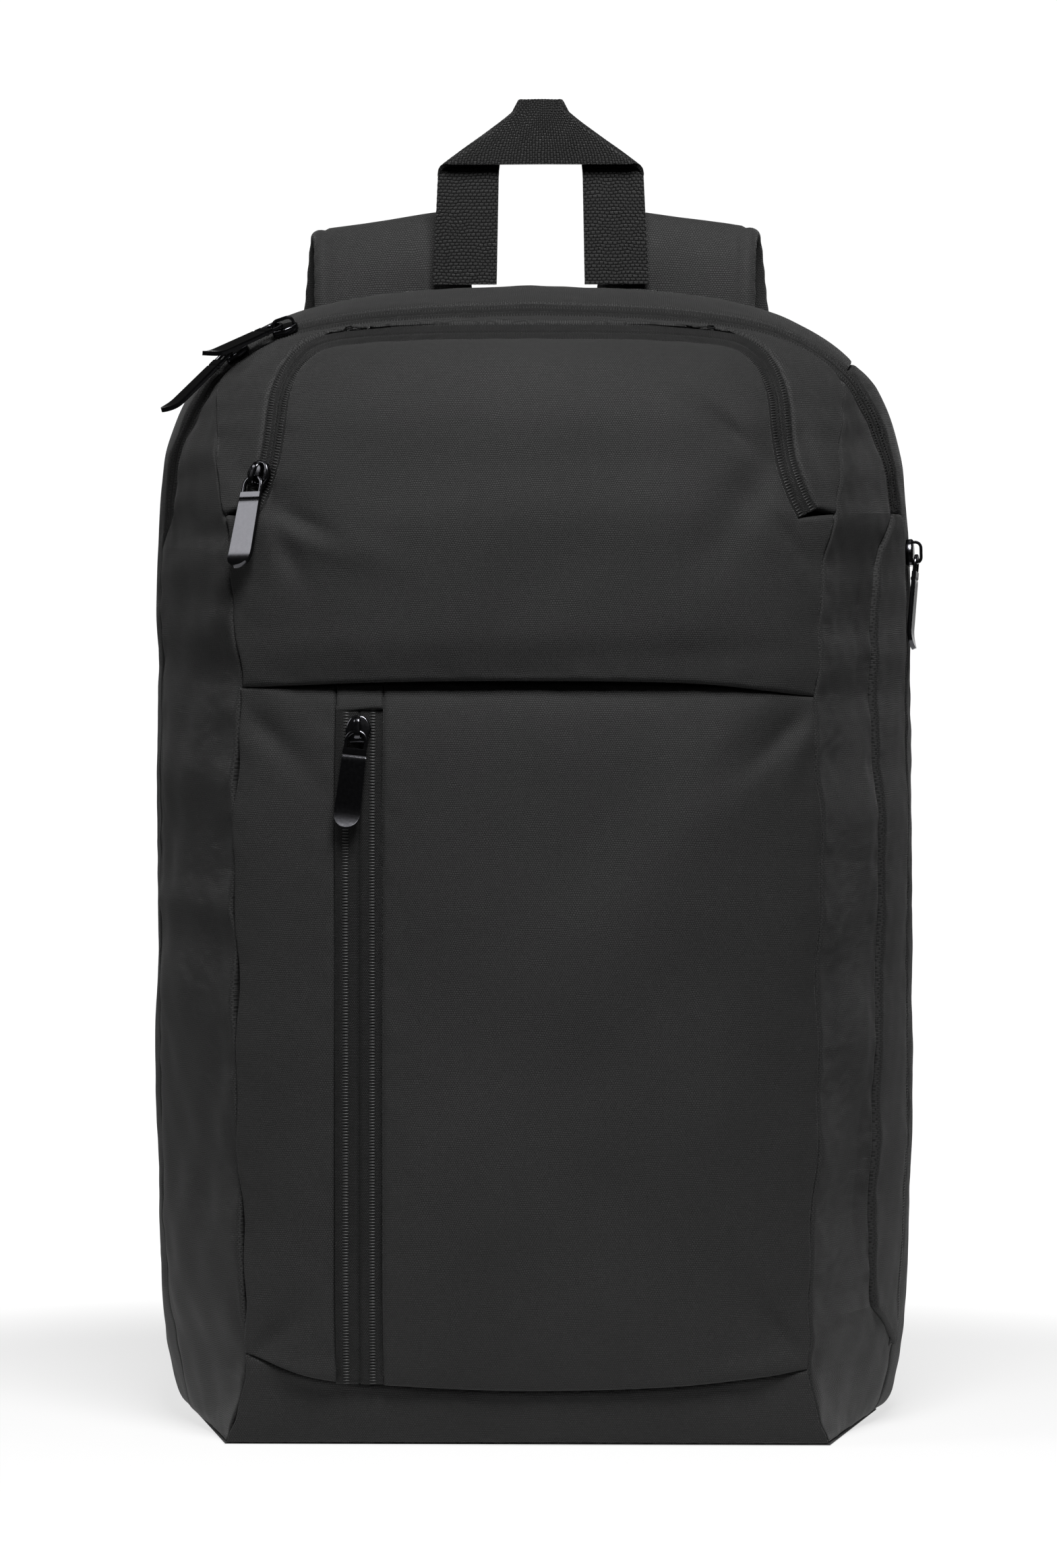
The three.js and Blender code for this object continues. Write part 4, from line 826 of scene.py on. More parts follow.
def tape_piece(name, centre, across, width, bands):
    """Tape along a line with unit vectors across it; bands of ribs keep their distance to its edges."""
    width = np.broadcast_to(np.asarray(width, float), len(centre))
    run = run_of(centre)
    offsets = TAPE_COLUMNS[None, :] * width[:, None]
    groove = np.where(np.abs(TAPE_COLUMNS) < SPLIT_HALF, SPLIT_DEPTH, 0.0)
    points = (
        centre[:, None] + across[:, None] * offsets[..., None]
        + inward(centre)[:, None] * groove[None, :, None]
    )
    uv = np.stack([offsets, np.broadcast_to(run[:, None], offsets.shape)], -1)
    made = grid_object(name + "_woven", points, uv)
    face_outwards(made)
    apply_modifier(made, "cloth", "SOLIDIFY", thickness=TAPE_THICKNESS * MM, offset=-1)
    finish_piece(made, [name], TAPE)
    places = (np.arange(int(run[-1] / COIL_PITCH)) + 0.5) * COIL_PITCH
    at = along_line(centre, run, places)
    side = unit(along_line(across, run, places))
    lift = -inward(at)
    along = unit(np.cross(lift, side))
    wider = (np.interp(places, run, width) - width.min())[:, None] / 2
    bodies = []
    for band in bands:
        middle = at + side * (band + math.copysign(1, band) * wider)
        bodies.append(
            middle[:, None] + side[:, None] * RIB[None, :, :1] + along[:, None] * RIB[None, :, 1:2]
            + lift[:, None] * RIB[None, :, 2:]
        )
    bodies = np.concatenate(bodies)
    starts = np.arange(len(bodies)) * len(RIB)
    faces = [tuple(int(base) + i for i in face) for base in starts for face in RIB_FACES]
    ribs = mesh_object(name + "_ribs", bodies.reshape(-1, 3), faces)
    ribs.data.materials.append(COIL)
    select(made, ribs)
    bpy.ops.object.join()
    bpy.ops.object.shade_smooth()
    print(f"{name}: {len(bodies)} ribs")
    return made


# %% Pocket zip
POCKET_POINTS, COVER_HEIGHT, COVER_WAVE = 130, 12.0, 0.6
pocket_top = float(fold_height(across_of(POCKET_ZIP_X))) - POCKET_COVER_HEIGHT
heights = np.linspace(float(lip_height(across_of(POCKET_ZIP_X))), pocket_top + 2, POCKET_POINTS)
line = front_point(LOWER_CENTRE, np.full_like(heights, POCKET_ZIP_X), heights, TAPE_RECESS + 0.5)
across = np.tile([1.0, 0, 0], (len(heights), 1))
tape_piece("pocket_zip_tape", line, across, POCKET_TAPE_WIDTH, WIDE_BANDS)
cover_x = lerp(-0.5, 0.5, spread(POCKET_TAPE_WIDTH)[None, :]) * POCKET_TAPE_WIDTH + POCKET_ZIP_X
cover_low = pocket_top + COVER_WAVE * np.sin((cover_x - POCKET_ZIP_X) / 5.0)
cover_z = lerp(cover_low, fold_height(across_of(cover_x)), spread(COVER_HEIGHT)[:, None])
cover_x = np.broadcast_to(cover_x, cover_z.shape)
panel(
    "pocket_zip_cover", front_point(LOWER_CENTRE, cover_x, cover_z, 0.5),
    front_uv(cover_x, cover_z, LOWER_CENTRE), roll=1.2, pull=0.0, wave=0.0, tuck=1.2, wall=0.6,
)

# %% [markdown]
# ## Base strip and upper panel
# Under the lip, a strip of the same cloth joins the front to the base. The upper panel is the door of
# the front compartment: it hangs over the fold line, reaches the front seam with a wing on each side,
# and inside the curved zip it forms the door. Its grid bends with the zip, while its thread map stays
# straight, as cloth is cut.

# %% Base strip
STRIP_HEIGHT = 24.0
shares = spread(STRIP_HEIGHT)[:, None]
across = lerp(-1, 1, spread(2 * FRONT_REACH)[None, :])
strip_x, strip_z = front_line(shares, across, lambda a: 0.0 * a, lip_height)
strip_z = np.broadcast_to(strip_z, strip_x.shape)
panel(
    "base_front", front_point(BASE_CENTRE, strip_x, strip_z), front_uv(strip_x, strip_z, BASE_CENTRE),
    roll=1.2, pull=0.3, wave=0.2, tuck=2.0,
)


# %% Upper panel
def door_zip(share, offset):
    """Point beside the front compartment's zip, from its left lower end (0) to its right one (1)."""
    count = len(DOOR_ZIP["up"]) - 1
    station = count * (1 - np.abs(2 * share - 1))
    side = np.where(share < 0.5, -1.0, 1.0)

    def at(s):
        return np.stack([
            HALF_WIDTH * read(DOOR_ZIP, "out", s),
            BODY_HEIGHT * read(DOOR_ZIP, "up", s),
        ], -1)

    here = at(station)
    step = unit(at(np.minimum(station + 0.05, count)) - at(np.maximum(station - 0.05, 0)))
    out = np.stack([step[..., 1], -step[..., 0]], -1)
    out = np.where(np.asarray(station > count - 0.06)[..., None], np.array([0.0, 1.0]), out)
    moved = here + out * np.asarray(offset)[..., None]
    return side * moved[..., 0], moved[..., 1]


def edge_run(offset, first, last):
    """The zip's line between two shares, as a function of the share of its length."""
    share = np.linspace(first, last, 500)
    x, z = door_zip(share, np.full_like(share, offset))
    run = run_of(np.stack([x, z], -1))
    return lambda s: (np.interp(s * run[-1], run, x), np.interp(s * run[-1], run, z))


CORNER, WING_WIDTH, WING_HEIGHT, DOOR_WIDTH, DOOR_HEIGHT = 0.27, 12.0, 62.0, 190.0, 74.0
EDGE = -DOOR_TAPE_WIDTH / 2
left_edge, top_edge = edge_run(EDGE, 0, CORNER), edge_run(EDGE, CORNER, 1 - CORNER)
right_edge = edge_run(EDGE, 1, 1 - CORNER)
middle = spread(DOOR_WIDTH)[None, :]
wing_rows, door_rows = spread(WING_HEIGHT), spread(DOOR_HEIGHT)[1:, None]
low_x, low_top = (lerp(left_edge(0)[k], right_edge(0)[k], middle) for k in (0, 1))
low_z = lerp(fold_height(across_of(low_x)), low_top, wing_rows[:, None])
wings = []
for side, column in ((-1, 0), (1, -1)):
    edge = seam(FRONT_SEAM, station_at(lerp(fold_height(side), DOOR_ZIP_END, wing_rows)), side)
    share = spread(WING_WIDTH)[::-side][None, :]
    wings.append((
        lerp(edge[:, None, 0], low_x[:, column], share),
        lerp(edge[:, None, 2], low_z[:, column][:, None], share),
    ))
pad = wings[0][0].shape[1] - 1
both = []
for k, low, first in ((0, np.broadcast_to(low_x, low_z.shape), low_x), (1, low_z, low_top)):
    rows = np.hstack([wings[0][k][:, :-1], low, wings[1][k][:, 1:]])
    last = lerp(left_edge(1)[k], right_edge(1)[k], middle)
    door = (
        lerp(left_edge(door_rows)[k], right_edge(door_rows)[k], middle)
        + lerp(first, top_edge(middle)[k], door_rows) - lerp(first, last, door_rows)
    )
    both.append(np.vstack([rows, np.pad(door, ((0, 0), (pad, pad)), mode="edge")]))
upper_x, upper_z = both
keep = np.ones((upper_x.shape[0] - 1, upper_x.shape[1] - 1), dtype=bool)
keep[len(wing_rows) - 1 :, :pad] = False
keep[len(wing_rows) - 1 :, -pad:] = False
panel(
    "upper_front_panel", front_point(UPPER_CENTRE, upper_x, upper_z),
    front_uv(upper_x, upper_z, UPPER_CENTRE), keep=keep,
)

# %% [markdown]
# ## Door zip and yoke
# The door's zip lies in a groove between the door and the yoke, the band of cloth that frames it and
# turns over the top to the main zip.

# %% Door zip
DOOR_STEPS = 2 * (EAR_ROWS + TOP_ROWS)
DOOR_POINTS, TAPE_HIDDEN = 400, 1.0


def door_share(step):
    half = DOOR_STEPS / 2
    from_end = half - np.abs(step - half)
    share = np.interp(from_end, [0, EAR_ROWS, half], [0, 0.25, 0.5])
    return np.where(step <= half, share, 1 - share)


zip_share = door_share(np.linspace(0, DOOR_STEPS, DOOR_POINTS))
hidden_edge = DOOR_TAPE_WIDTH / 2 + TAPE_HIDDEN
inner, outer = (
    front_point(UPPER_CENTRE, *door_zip(zip_share, np.full_like(zip_share, off)), TAPE_RECESS + 0.4)
    for off in (-hidden_edge, hidden_edge)
)
width = np.linalg.norm(outer - inner, axis=1)
tape_piece("front_zip_tape", (inner + outer) / 2, unit(outer - inner), width, DOOR_BANDS)

# %% Yoke
YOKE_WIDTH, YOKE_POINTS = 40.0, 240
steps = np.linspace(0, DOOR_STEPS, YOKE_POINTS)
yoke_across = spread(YOKE_WIDTH)[None, :]
inner_x, inner_z = door_zip(door_share(steps), np.full_like(steps, DOOR_TAPE_WIDTH / 2))
left, row = over_top(steps, DOOR_ROW)
outer = np.where(
    left[:, None], *(seam(FRONT_SEAM, station_of(value, row), value) for value in (-1, 1))
)
yoke_x = lerp(inner_x[:, None], outer[:, None, 0], yoke_across)
yoke_z = lerp(inner_z[:, None], outer[:, None, 2], yoke_across)
panel(
    "yoke_panel", front_point(UPPER_CENTRE, yoke_x, yoke_z), np.stack([yoke_x, yoke_z], -1),
    roll=1.4, pull=0.4,
)

# %% [markdown]
# ## Sides, top and back
# Gussets join the front to the back on both sides. On the right a raised flat pocket with its own
# upright zip lies between them. The main zip starts low on the shoulders and runs over the top, with
# the rim band behind it. The back panel is padded, and the base closes the bag below.


# %% Side panels
ROW_LENGTH = 20.0
GUSSET_WIDTH, BACK_GUSSET_WIDTH, SIDE_PANEL_WIDTH, SIDE_POINTS = 60.0, 26.0, 34.0, 160


def side_strip(first, last, low, high, side, width):
    """Grid on a side between two shares that change by row."""
    row = lerp(first, last, spread(ROW_LENGTH * (last - first)))[:, None]
    share = lerp(low(row), high(row), spread(width)[None, :])
    return side_by_row(side, np.broadcast_to(row, share.shape), share)


for side, word in ((-1, "left"), (1, "right")):
    front = side_strip(
        0, EAR_ROW, lambda r: 0 * r, lambda r: cut_at(side, r, GUSSET), side, GUSSET_WIDTH
    )
    panel(f"gusset_{word}", front, wave=1.3, pucker=0.5)
    rear = side_strip(
        0, EAR_ROW, lambda r: cut_at(side, r, REAR), lambda r: 0 * r + 1, side, BACK_GUSSET_WIDTH
    )
    panel(f"back_gusset_{word}", rear, wave=0.8)
first = SIDE_PANEL_ROW - 1
raised = side_strip(
    first, DOOR_ROW, lambda r: cut_at(1, r, GUSSET), lambda r: cut_at(1, r, ZIP), 1, SIDE_PANEL_WIDTH
)
raised = raised - inward(raised) * (SIDE_PANEL_RAISE + 0.6)
panel("side_panel", raised, roll=2.0, pull=0.2, wave=0.5, tuck=3.0)

# %% Side zip
rows = np.linspace(first, DOOR_ROW, SIDE_POINTS)
low, high = (side_by_row(1, rows, cut_at(1, rows, which)) for which in (ZIP, REAR))
line = (low + high) / 2
line = line + inward(line) * 0.4
tape_piece("side_zip_tape", line, unit(high - low), SIDE_TAPE_WIDTH, SIDE_BANDS)

# %% Rim band and main zip
RIM_WIDTH, RIM_POINTS, MAIN_POINTS, LEAST_TAPE = 28.0, 190, 420, 6.0
share = spread(RIM_WIDTH)[None, :]
path = np.linspace(0, 2 * TOP_ROWS, RIM_POINTS)[:, None]
path = np.broadcast_to(path, (RIM_POINTS, share.size))
rim = over_points(path, EAR_ROW, lambda side, row: lerp(cut_at(side, row, REAR), 1, share))
panel("rim_band", rim, roll=1.4, pull=0.4, wave=0.3)
start = DOOR_ROW - 1
path = np.linspace(0, 2 * (TOP_ROW - start) - 1, MAIN_POINTS)
low, high = (
    over_points(path, start, lambda side, row: cut_at(side, row, which)) for which in (GUSSET, REAR)
)
wide_enough = np.linalg.norm(high - low, axis=1) > LEAST_TAPE
line = (low + high) / 2
line = (line + inward(line) * (TAPE_RECESS + 0.2))[wide_enough]
across = unit(high - low)[wide_enough]
tape_piece("main_zip_tape", line, across, MAIN_TAPE_WIDTH, WIDE_BANDS)

# %% Back panel and base
BACK_WIDTH, BACK_HEIGHT, BACK_STEP = 290.0, 440.0, 3.0
BASE_WIDTH, BASE_DEPTH, BASE_STEP = 260.0, 110.0, 4.0
rows = spread(BACK_HEIGHT, BACK_STEP)[:, None] * (TOP_ROW - 1)
left_back, right_back = (seam(BACK_SEAM, station_of(value, rows), value) for value in (-1, 1))
share = spread(BACK_WIDTH, BACK_STEP)[None, :, None]
back = lerp(left_back, right_back, share)
up = back[..., 2] / BODY_HEIGHT
back[..., 1] += BACK_CROWN * (1 - (2 * share[..., 0] - 1) ** 4) * (1 - (2 * up - 1) ** 6)
made = panel("back_panel", back, roll=3.0, pull=0.6, wave=0.5, wall=3.0, tuck=3.0)
share = spread(BASE_DEPTH, BASE_STEP)[:, None]
edge = side_point(np.zeros_like(share), share, 1)
bottom_x = lerp(-edge[..., 0], edge[..., 0], spread(BASE_WIDTH, BASE_STEP)[None, :])
bottom = place(bottom_x, edge[..., 1], 0.0)
panel("base", bottom, roll=0.5, pull=0.0, wave=0.0, pucker=0.0, tuck=1.4)

# %% [markdown]
# ## Grab handle
# The handle is a length of ribbed webbing. Its two legs stand up from the top seam, and the web folds
# over at 45 degrees at each corner, so the grip lies level in front of the legs. The fold is a roll of
# small radius, worked out as for flat paper, because webbing bends but doesn't stretch.


# %% Webbing tools
RIB_ACROSS, RIB_ALONG = 1.9, 1.3
SHARP_EDGE = math.radians(50)


def ribbed(across, along, relief=0.1):
    """Height of the web's ribs: plump picks that sit in each other's gaps."""
    wave = np.cos(2 * math.pi * across / RIB_ACROSS) * np.cos(math.pi * along / RIB_ALONG)
    return relief * wave


def strip_object(name, points, uv, thickness):
    """A web of even thickness around a grid of its middle surface."""
    made = grid_object(name, points, uv)
    apply_modifier(made, "web", "SOLIDIFY", thickness=thickness * MM, offset=0)
    bpy.ops.object.shade_smooth_by_angle(angle=SHARP_EDGE)
    return made


# %% Handle
WEB_WIDTH, WEB_THICKNESS = 25.0, 1.5
HANDLE_SPAN, HANDLE_CENTRE, LEG_HEIGHT, FOLD_RADIUS = 59.4, 2.6, 54.0, 2.2
HANDLE_LEAN, TOP_SQUEEZE = 0.06, 0.42
SEAM_GAP = 0.3
SAG, SAG_REACH = 1.2, 11.0
arc = math.pi * FOLD_RADIUS
half_length = LEG_HEIGHT + HANDLE_SPAN / 2 + arc * math.sqrt(0.5)
fold_end = LEG_HEIGHT + arc * math.sqrt(2)
LEG_ROWS, FOLD_ROWS, GRIP_ROWS, WEB_COLUMNS = 84, 24, 40, 50
half_rows = np.concatenate([
    np.linspace(0, LEG_HEIGHT, LEG_ROWS)[:-1], np.linspace(LEG_HEIGHT, fold_end, FOLD_ROWS)[:-1],
    np.linspace(fold_end, half_length, GRIP_ROWS),
])
start = np.concatenate([half_rows, half_rows[-2::-1]])[:, None]
side = np.where(np.arange(len(start)) < len(half_rows), -1.0, 1.0)[:, None]
offset = np.linspace(-0.5, 0.5, WEB_COLUMNS)[None, :] * WEB_WIDTH
skew = np.minimum(1, np.maximum(0, start / LEG_HEIGHT - 0.25) / 0.5)
skew = np.minimum(skew, (half_length - start) / (half_length - fold_end))
along = start + skew * offset
past = (along - LEG_HEIGHT - offset) * math.sqrt(0.5)
turn = np.clip(past / FOLD_RADIUS, 0, math.pi)
travel = np.where(past <= 0, 0, FOLD_RADIUS * np.sin(turn) - np.maximum(past - arc, 0) - past)
tilt = np.sin(turn) * math.sqrt(0.5)
facing = place(-side * tilt, -np.cos(turn), -tilt)
web = place(
    HANDLE_CENTRE + side * (HANDLE_SPAN / 2 - offset + travel * math.sqrt(0.5)),
    HALF_DEPTH - FOLD_RADIUS * (1 - np.cos(turn)),
    BODY_HEIGHT + SEAM_GAP + along + travel * math.sqrt(0.5),
)
run = np.where(side < 0, along, 2 * half_length - along)
web += facing * ribbed(offset, run)[..., None]
height = web[..., 2] - BODY_HEIGHT - SEAM_GAP
gather = HANDLE_LEAN * np.clip(height / LEG_HEIGHT, 0, 1)
gather = gather + TOP_SQUEEZE * np.clip((height - LEG_HEIGHT) / WEB_WIDTH + 0.5, 0, 1) ** 2
web[..., 0] = HANDLE_CENTRE + (web[..., 0] - HANDLE_CENTRE) * (1 - gather)
near_middle = np.exp(-(((web[..., 0] - HANDLE_CENTRE) / SAG_REACH) ** 2))
web[..., 2] += SAG * near_middle * np.clip(height / LEG_HEIGHT - 0.8, 0, 0.4)
uv = np.stack([np.broadcast_to(offset, run.shape) + 20, run], -1)
finish_piece(
    strip_object("grab_handle_web", web, uv, WEB_THICKNESS), ["grab_handle"], WEBBING
)

# %% [markdown]
# ## Shoulder straps
# Each strap is a foam pad in cloth with a bound edge. It is sewn to the back near the top, stands up
# in an arch over the top seam, which is what the front view shows, and falls down the back to a
# ladder buckle. A crowned section is swept along its run, with a ridge for the binding on each side
# and slight scallops where the stitches pull it in.

# %% Strap run
STRAP_WIDTH, STRAP_THICKNESS, STRAP_TOP_X, STRAP_SPLAY = 62.0, 9.0, 55.5, 37.5
STRAP_RUN = table(
    "out back up wide roll",
    (0, 1.145, 0.905, 1, 0), (0, 1.15, 0.975, 1, 0), (0.01, 1.18, 1.022, 1, 4),
    (0.03, 1.29, 1.05, 1, 8), (0.06, 1.45, 1.053, 1, 8), (0.1, 1.57, 1.03, 1, 6),
    (0.15, 1.62, 0.985, 1, 3), (0.25, 1.615, 0.91, 1, 0), (0.4, 1.58, 0.8, 1, 0),
    (0.57, 1.53, 0.685, 1, 0), (0.76, 1.47, 0.57, 0.97, 0), (0.92, 1.38, 0.47, 0.88, 0),
    (1, 1.32, 0.405, 0.62, 0),
)


def strap_line(station, side):
    value = {key: read(STRAP_RUN, key, station) for key in ("out", "back", "up")}
    return place(
        side * (STRAP_TOP_X + STRAP_SPLAY * value["out"]), HALF_DEPTH * value["back"],
        BODY_HEIGHT * value["up"],
    )


def sweep_object(name, rings, uv=None):
    """A closed skin through rings of points, with a cap on each end."""
    count, around = rings.shape[:2]
    faces = []
    for a in range(0, (count - 1) * around, around):
        b = a + around
        faces += [(a + i, a + (i + 1) % around, b + (i + 1) % around, b + i) for i in range(around)]
    faces.append(tuple(range(around - 1, -1, -1)))
    faces.append(tuple((count - 1) * around + i for i in range(around)))
    made = mesh_object(name, rings.reshape(-1, 3), faces)
    made.data.uv_layers.new(name="cloth")
    if uv is not None:
        map_threads(made.data, uv)
    on_all_faces(bpy.ops.mesh.normals_make_consistent, inside=False)
    bpy.ops.object.shade_smooth_by_angle(angle=SHARP_EDGE)
    return made


def rounded_section(count, width, height, power_x, power_y):
    """Outline between an oval and a box; lower powers have squarer corners."""
    angle = np.linspace(0, 2 * math.pi, count + 1)[:-1]
    c, s = np.cos(angle), np.sin(angle)
    x = np.sign(c) * np.abs(c) ** power_x * width / 2
    return x, np.sign(s) * np.abs(s) ** power_y * height / 2


BINDING = 5.0


def pad_section(width, thickness):
    """Half-round pad section with a groove and a raised binding along each edge."""
    x, y = rounded_section(56, width, thickness, 0.55, 0.62)
    from_edge = width / 2 - np.abs(x)
    groove = np.exp(-(((from_edge - BINDING) / 0.9) ** 2)) * 0.9
    ridge = np.exp(-(((from_edge - BINDING * 0.5) / 1.6) ** 2)) * 0.35
    return x, y * (1 - (groove - ridge) / (thickness / 2))


STRAP_RINGS, STITCH_LENGTH = 230, 8.0


def strap(side):
    word = "left" if side < 0 else "right"
    dense = np.linspace(0, 12, 1200)
    run = run_of(strap_line(dense, side))
    places = np.linspace(0, run[-1], STRAP_RINGS)
    station = np.interp(places, run, dense)
    here = strap_line(station, side)
    along = unit(strap_line(station + 0.02, side) - strap_line(station - 0.02, side))
    along[-1], along[0] = along[-2], along[1]
    flat = unit(np.cross([1.0, 0, 0], along))
    roll = side * np.radians(read(STRAP_RUN, "roll", station))[:, None]
    through = flat * np.cos(roll) + np.cross(along, flat) * np.sin(roll)
    across = np.cross(along, through)
    wide = read(STRAP_RUN, "wide", station)
    rings = []
    for n, at in enumerate(places):
        end = min(at, run[-1] - at)
        close = 1 - 0.55 * max(0.0, 1 - end / 5.0) ** 2
        scallop = 0.25 * math.cos(2 * math.pi * at / STITCH_LENGTH)
        x, y = pad_section(STRAP_WIDTH * wide[n] + scallop, STRAP_THICKNESS * close)
        rings.append(here[n] + across[n] * x[:, None] + through[n] * y[:, None])
    rings = np.array(rings)
    crease = 0.4 * wobble(rings.reshape(-1, 3), 60.0, 3).reshape(rings.shape[:2])
    rings += through[:, None] * crease[..., None]
    uv = np.stack(np.meshgrid(run_of(rings[60]), places), -1)
    made = sweep_object(f"shoulder_strap_{word}_pad", rings, uv)
    finish_piece(made, [f"shoulder_strap_{word}"], STRAP_CLOTH)


for side in (-1, 1):
    strap(side)

# %% [markdown]
# ## Anchor tabs, webs and ladder buckles
# A cloth triangle in each lower back corner holds the end of the strap's web. The web runs up to the
# ladder buckle, under one bar, over the next and back down as a loose tail, which is how such a buckle
# grips. The buckle's solid already has the right shape, so it stays and only gets rounded edges.


# %% Lower strap hardware
BUCKLE_LENGTH, BUCKLE_THICKNESS, BUCKLE_BAR, BUCKLE_SETBACK = 28.0, 4.0, 5.0, 4.2
WEB_TAIL, TAB_THICKNESS = 70.0, 3.0
TAB_FRONT = HALF_DEPTH + BACK_CROWN * 0.56
TAB_CORNERS = ((0.97, 0.205), (0.955, 0.05), (0.78, 0.13))


def tab_corners(side):
    return np.array([(side * HALF_WIDTH * out, BODY_HEIGHT * up) for out, up in TAB_CORNERS])


def buckle_frame(side):
    """Matrix of the buckle in millimetres: x runs down the web to its tab, z away from the back."""
    here = strap_line(np.array(12.0), side)
    middle = tab_corners(side).mean(axis=0)
    rest = TAB_FRONT + TAB_THICKNESS + SEAM_GAP + BUCKLE_THICKNESS / 2 + WEB_THICKNESS
    target = np.array([middle[0], rest, middle[1]])
    along = unit(target - here)
    out = unit(np.array([0, 1.0, 0]) - along * along[1])
    across = np.cross(out, along)
    start = here + along * BUCKLE_SETBACK
    return np.column_stack([along, across, out]), start, np.linalg.norm(target - start)


def smooth_path(route, rounds=3):
    """Corners of a path cut again and again, which leaves a smooth run through it."""
    for _ in range(rounds):
        low, high = lerp(route[:-1], route[1:], 0.25), lerp(route[:-1], route[1:], 0.75)
        route = np.concatenate([route[:1], np.stack([low, high], 1).reshape(-1, 2), route[-1:]])
    return route


def web_strip(route, width, basis, start):
    """Web along a path of (along, out) in a frame, as points and thread map."""
    dense = smooth_path(np.array(route, float))
    run = run_of(dense)
    places = np.linspace(0, run[-1], max(int(run[-1] / 1.1), 12))
    path = along_line(dense, run, places)
    heading = unit(np.gradient(path, axis=0))
    normal = np.stack([-heading[:, 1], heading[:, 0]], -1)
    offset = np.linspace(-width / 2, width / 2, 26)
    lift = ribbed(offset[None, :], places[:, None], 0.08)
    local = place(
        path[:, :1] + normal[:, :1] * lift, np.broadcast_to(offset, lift.shape),
        path[:, 1:] + normal[:, 1:] * lift,
    )
    uv = np.stack(np.meshgrid(offset + 20, places), -1)
    return local @ basis.T + start, uv


KEEPER_THICKNESS = 1.1
KEEPER_ROUTE = [(-9, 3.3), (2, 3.3), (5.9, 3.1), (6.1, 0), (5.9, -3.1), (2, -3.3), (-9, -3.3)]
for side, word in ((-1, "left"), (1, "right")):
    corners = tab_corners(side)
    rise, fall = spread(60.0)[:, None, None], spread(32.0)[None, :, None] * 0.94
    flat = lerp(lerp(corners[0], corners[1], rise), corners[2], fall)
    tab = place(flat[..., 0], TAB_FRONT + TAB_THICKNESS, flat[..., 1])
    panel(
        f"anchor_tab_{word}", tab, flat, roll=1.6, pull=0.0, wave=0.0, pucker=0.0, tuck=1.2, wall=0.8
    )
    basis, start, reach = buckle_frame(side)
    slot = (BUCKLE_LENGTH - 3 * BUCKLE_BAR) / 2
    upper, lower = BUCKLE_BAR + slot / 2, 2 * BUCKLE_BAR + slot * 1.5
    clear = BUCKLE_THICKNESS / 2 + SEAM_GAP + WEB_THICKNESS / 2
    under = clear + WEB_THICKNESS + 2 * SEAM_GAP
    route = [
        (WEB_TAIL, -under), (BUCKLE_LENGTH, -under), (upper + 2, -under), (upper, -clear + 1),
        (upper, clear - 0.6), (upper + 1.6, clear), (lower - 1.6, clear), (lower, clear - 0.6),
        (lower, -clear + 1.2), (lower + 2, -clear), (BUCKLE_LENGTH + 2, -clear), (reach, -clear),
    ]
    points, uv = web_strip(route, WEB_WIDTH, basis, start)
    web = strip_object(f"strap_web_{word}_web", points, uv, WEB_THICKNESS)
    finish_piece(web, [f"strap_web_{word}"], WEBBING)
    points, uv = web_strip(KEEPER_ROUTE, WEB_WIDTH - 1, basis, start)
    keeper = strip_object(f"strap_loop_{word}", points, uv, KEEPER_THICKNESS)
    finish_piece(keeper, [], WEBBING)
    buckle = bpy.data.objects[f"ladder_buckle_{word}"]
    weld = buckle.modifiers.new("weld", "WELD")
    weld.merge_threshold = 0.00005
    bevel = buckle.modifiers.new("edges", "BEVEL")
    bevel.width, bevel.segments, bevel.limit_method = 0.0007, 3, "ANGLE"
    buckle.data.materials.clear()
    buckle.data.materials.append(PLASTIC)

# %% [markdown]
# ## Sliders and pulls
# Each slider is a small spade-shaped body with a bridge over it. A round wire eye hangs in the
# bridge, and the pull's flat plate grows out of the eye: a narrow head with a groove, a plate that
# widens, and a rounded tip that bends away from the cloth so that a finger gets under it. One slider
# and one pull are modelled, then copied to the five seats.

# %% Slider and pull
SLIDER_OUTLINE = [
    (-5.1, 0.9), (-4.7, 2.1), (-3.9, 3.1), (-2.6, 3.95), (-1.2, 4.45), (0.2, 4.75), (0.9, 4.7),
    (2.2, 4.1), (3.8, 3.6), (4.8, 3.3), (5.1, 2.9),
]


def bevelled_plate(name, outline, low, high, width):
    """A plate from a half outline of (x, half width), with a rounded upper rim."""
    ring = [(x, -y) for x, y in outline] + [(x, y) for x, y in reversed(outline)]
    bpy.ops.object.select_all(action="DESELECT")
    bpy.ops.mesh.primitive_circle_add(vertices=len(ring), radius=1, fill_type="NGON")
    made = bpy.context.object
    made.name = name
    for vertex, (x, y) in zip(made.data.vertices, ring):
        vertex.co = (x * MM, y * MM, low * MM)
    rise = {"value": (0, 0, (high - low) * MM)}
    on_all_faces(bpy.ops.mesh.extrude_region_move, TRANSFORM_OT_translate=rise)
    on_all_faces(bpy.ops.mesh.normals_make_consistent, inside=False)
    apply_modifier(
        made, "rim", "BEVEL", width=width * MM, segments=3, limit_method="ANGLE",
        angle_limit=SHARP_EDGE,
    )
    return made


def wire(name, path, width, height):
    """A rounded bar along a path in millimetres; width lies across the path's own plane."""
    path = np.array(path, float)
    run = run_of(path)
    line = along_line(path, run, np.linspace(0, run[-1], 40))
    along = unit(np.gradient(line, axis=0))
    normal = unit(np.cross(path[-1] - path[0], path[len(path) // 2] - path[0]))
    inner = np.cross(along, normal)
    x, y = rounded_section(14, width, height, 0.6, 0.6)
    return sweep_object(name, line[:, None] + normal * x[None, :, None] + inner[:, None] * y[None, :, None])


def join_pieces(name, first, second):
    select(first, second)
    bpy.ops.object.join()
    first.name = name
    bpy.ops.object.shade_smooth_by_angle(angle=math.radians(35))
    return first


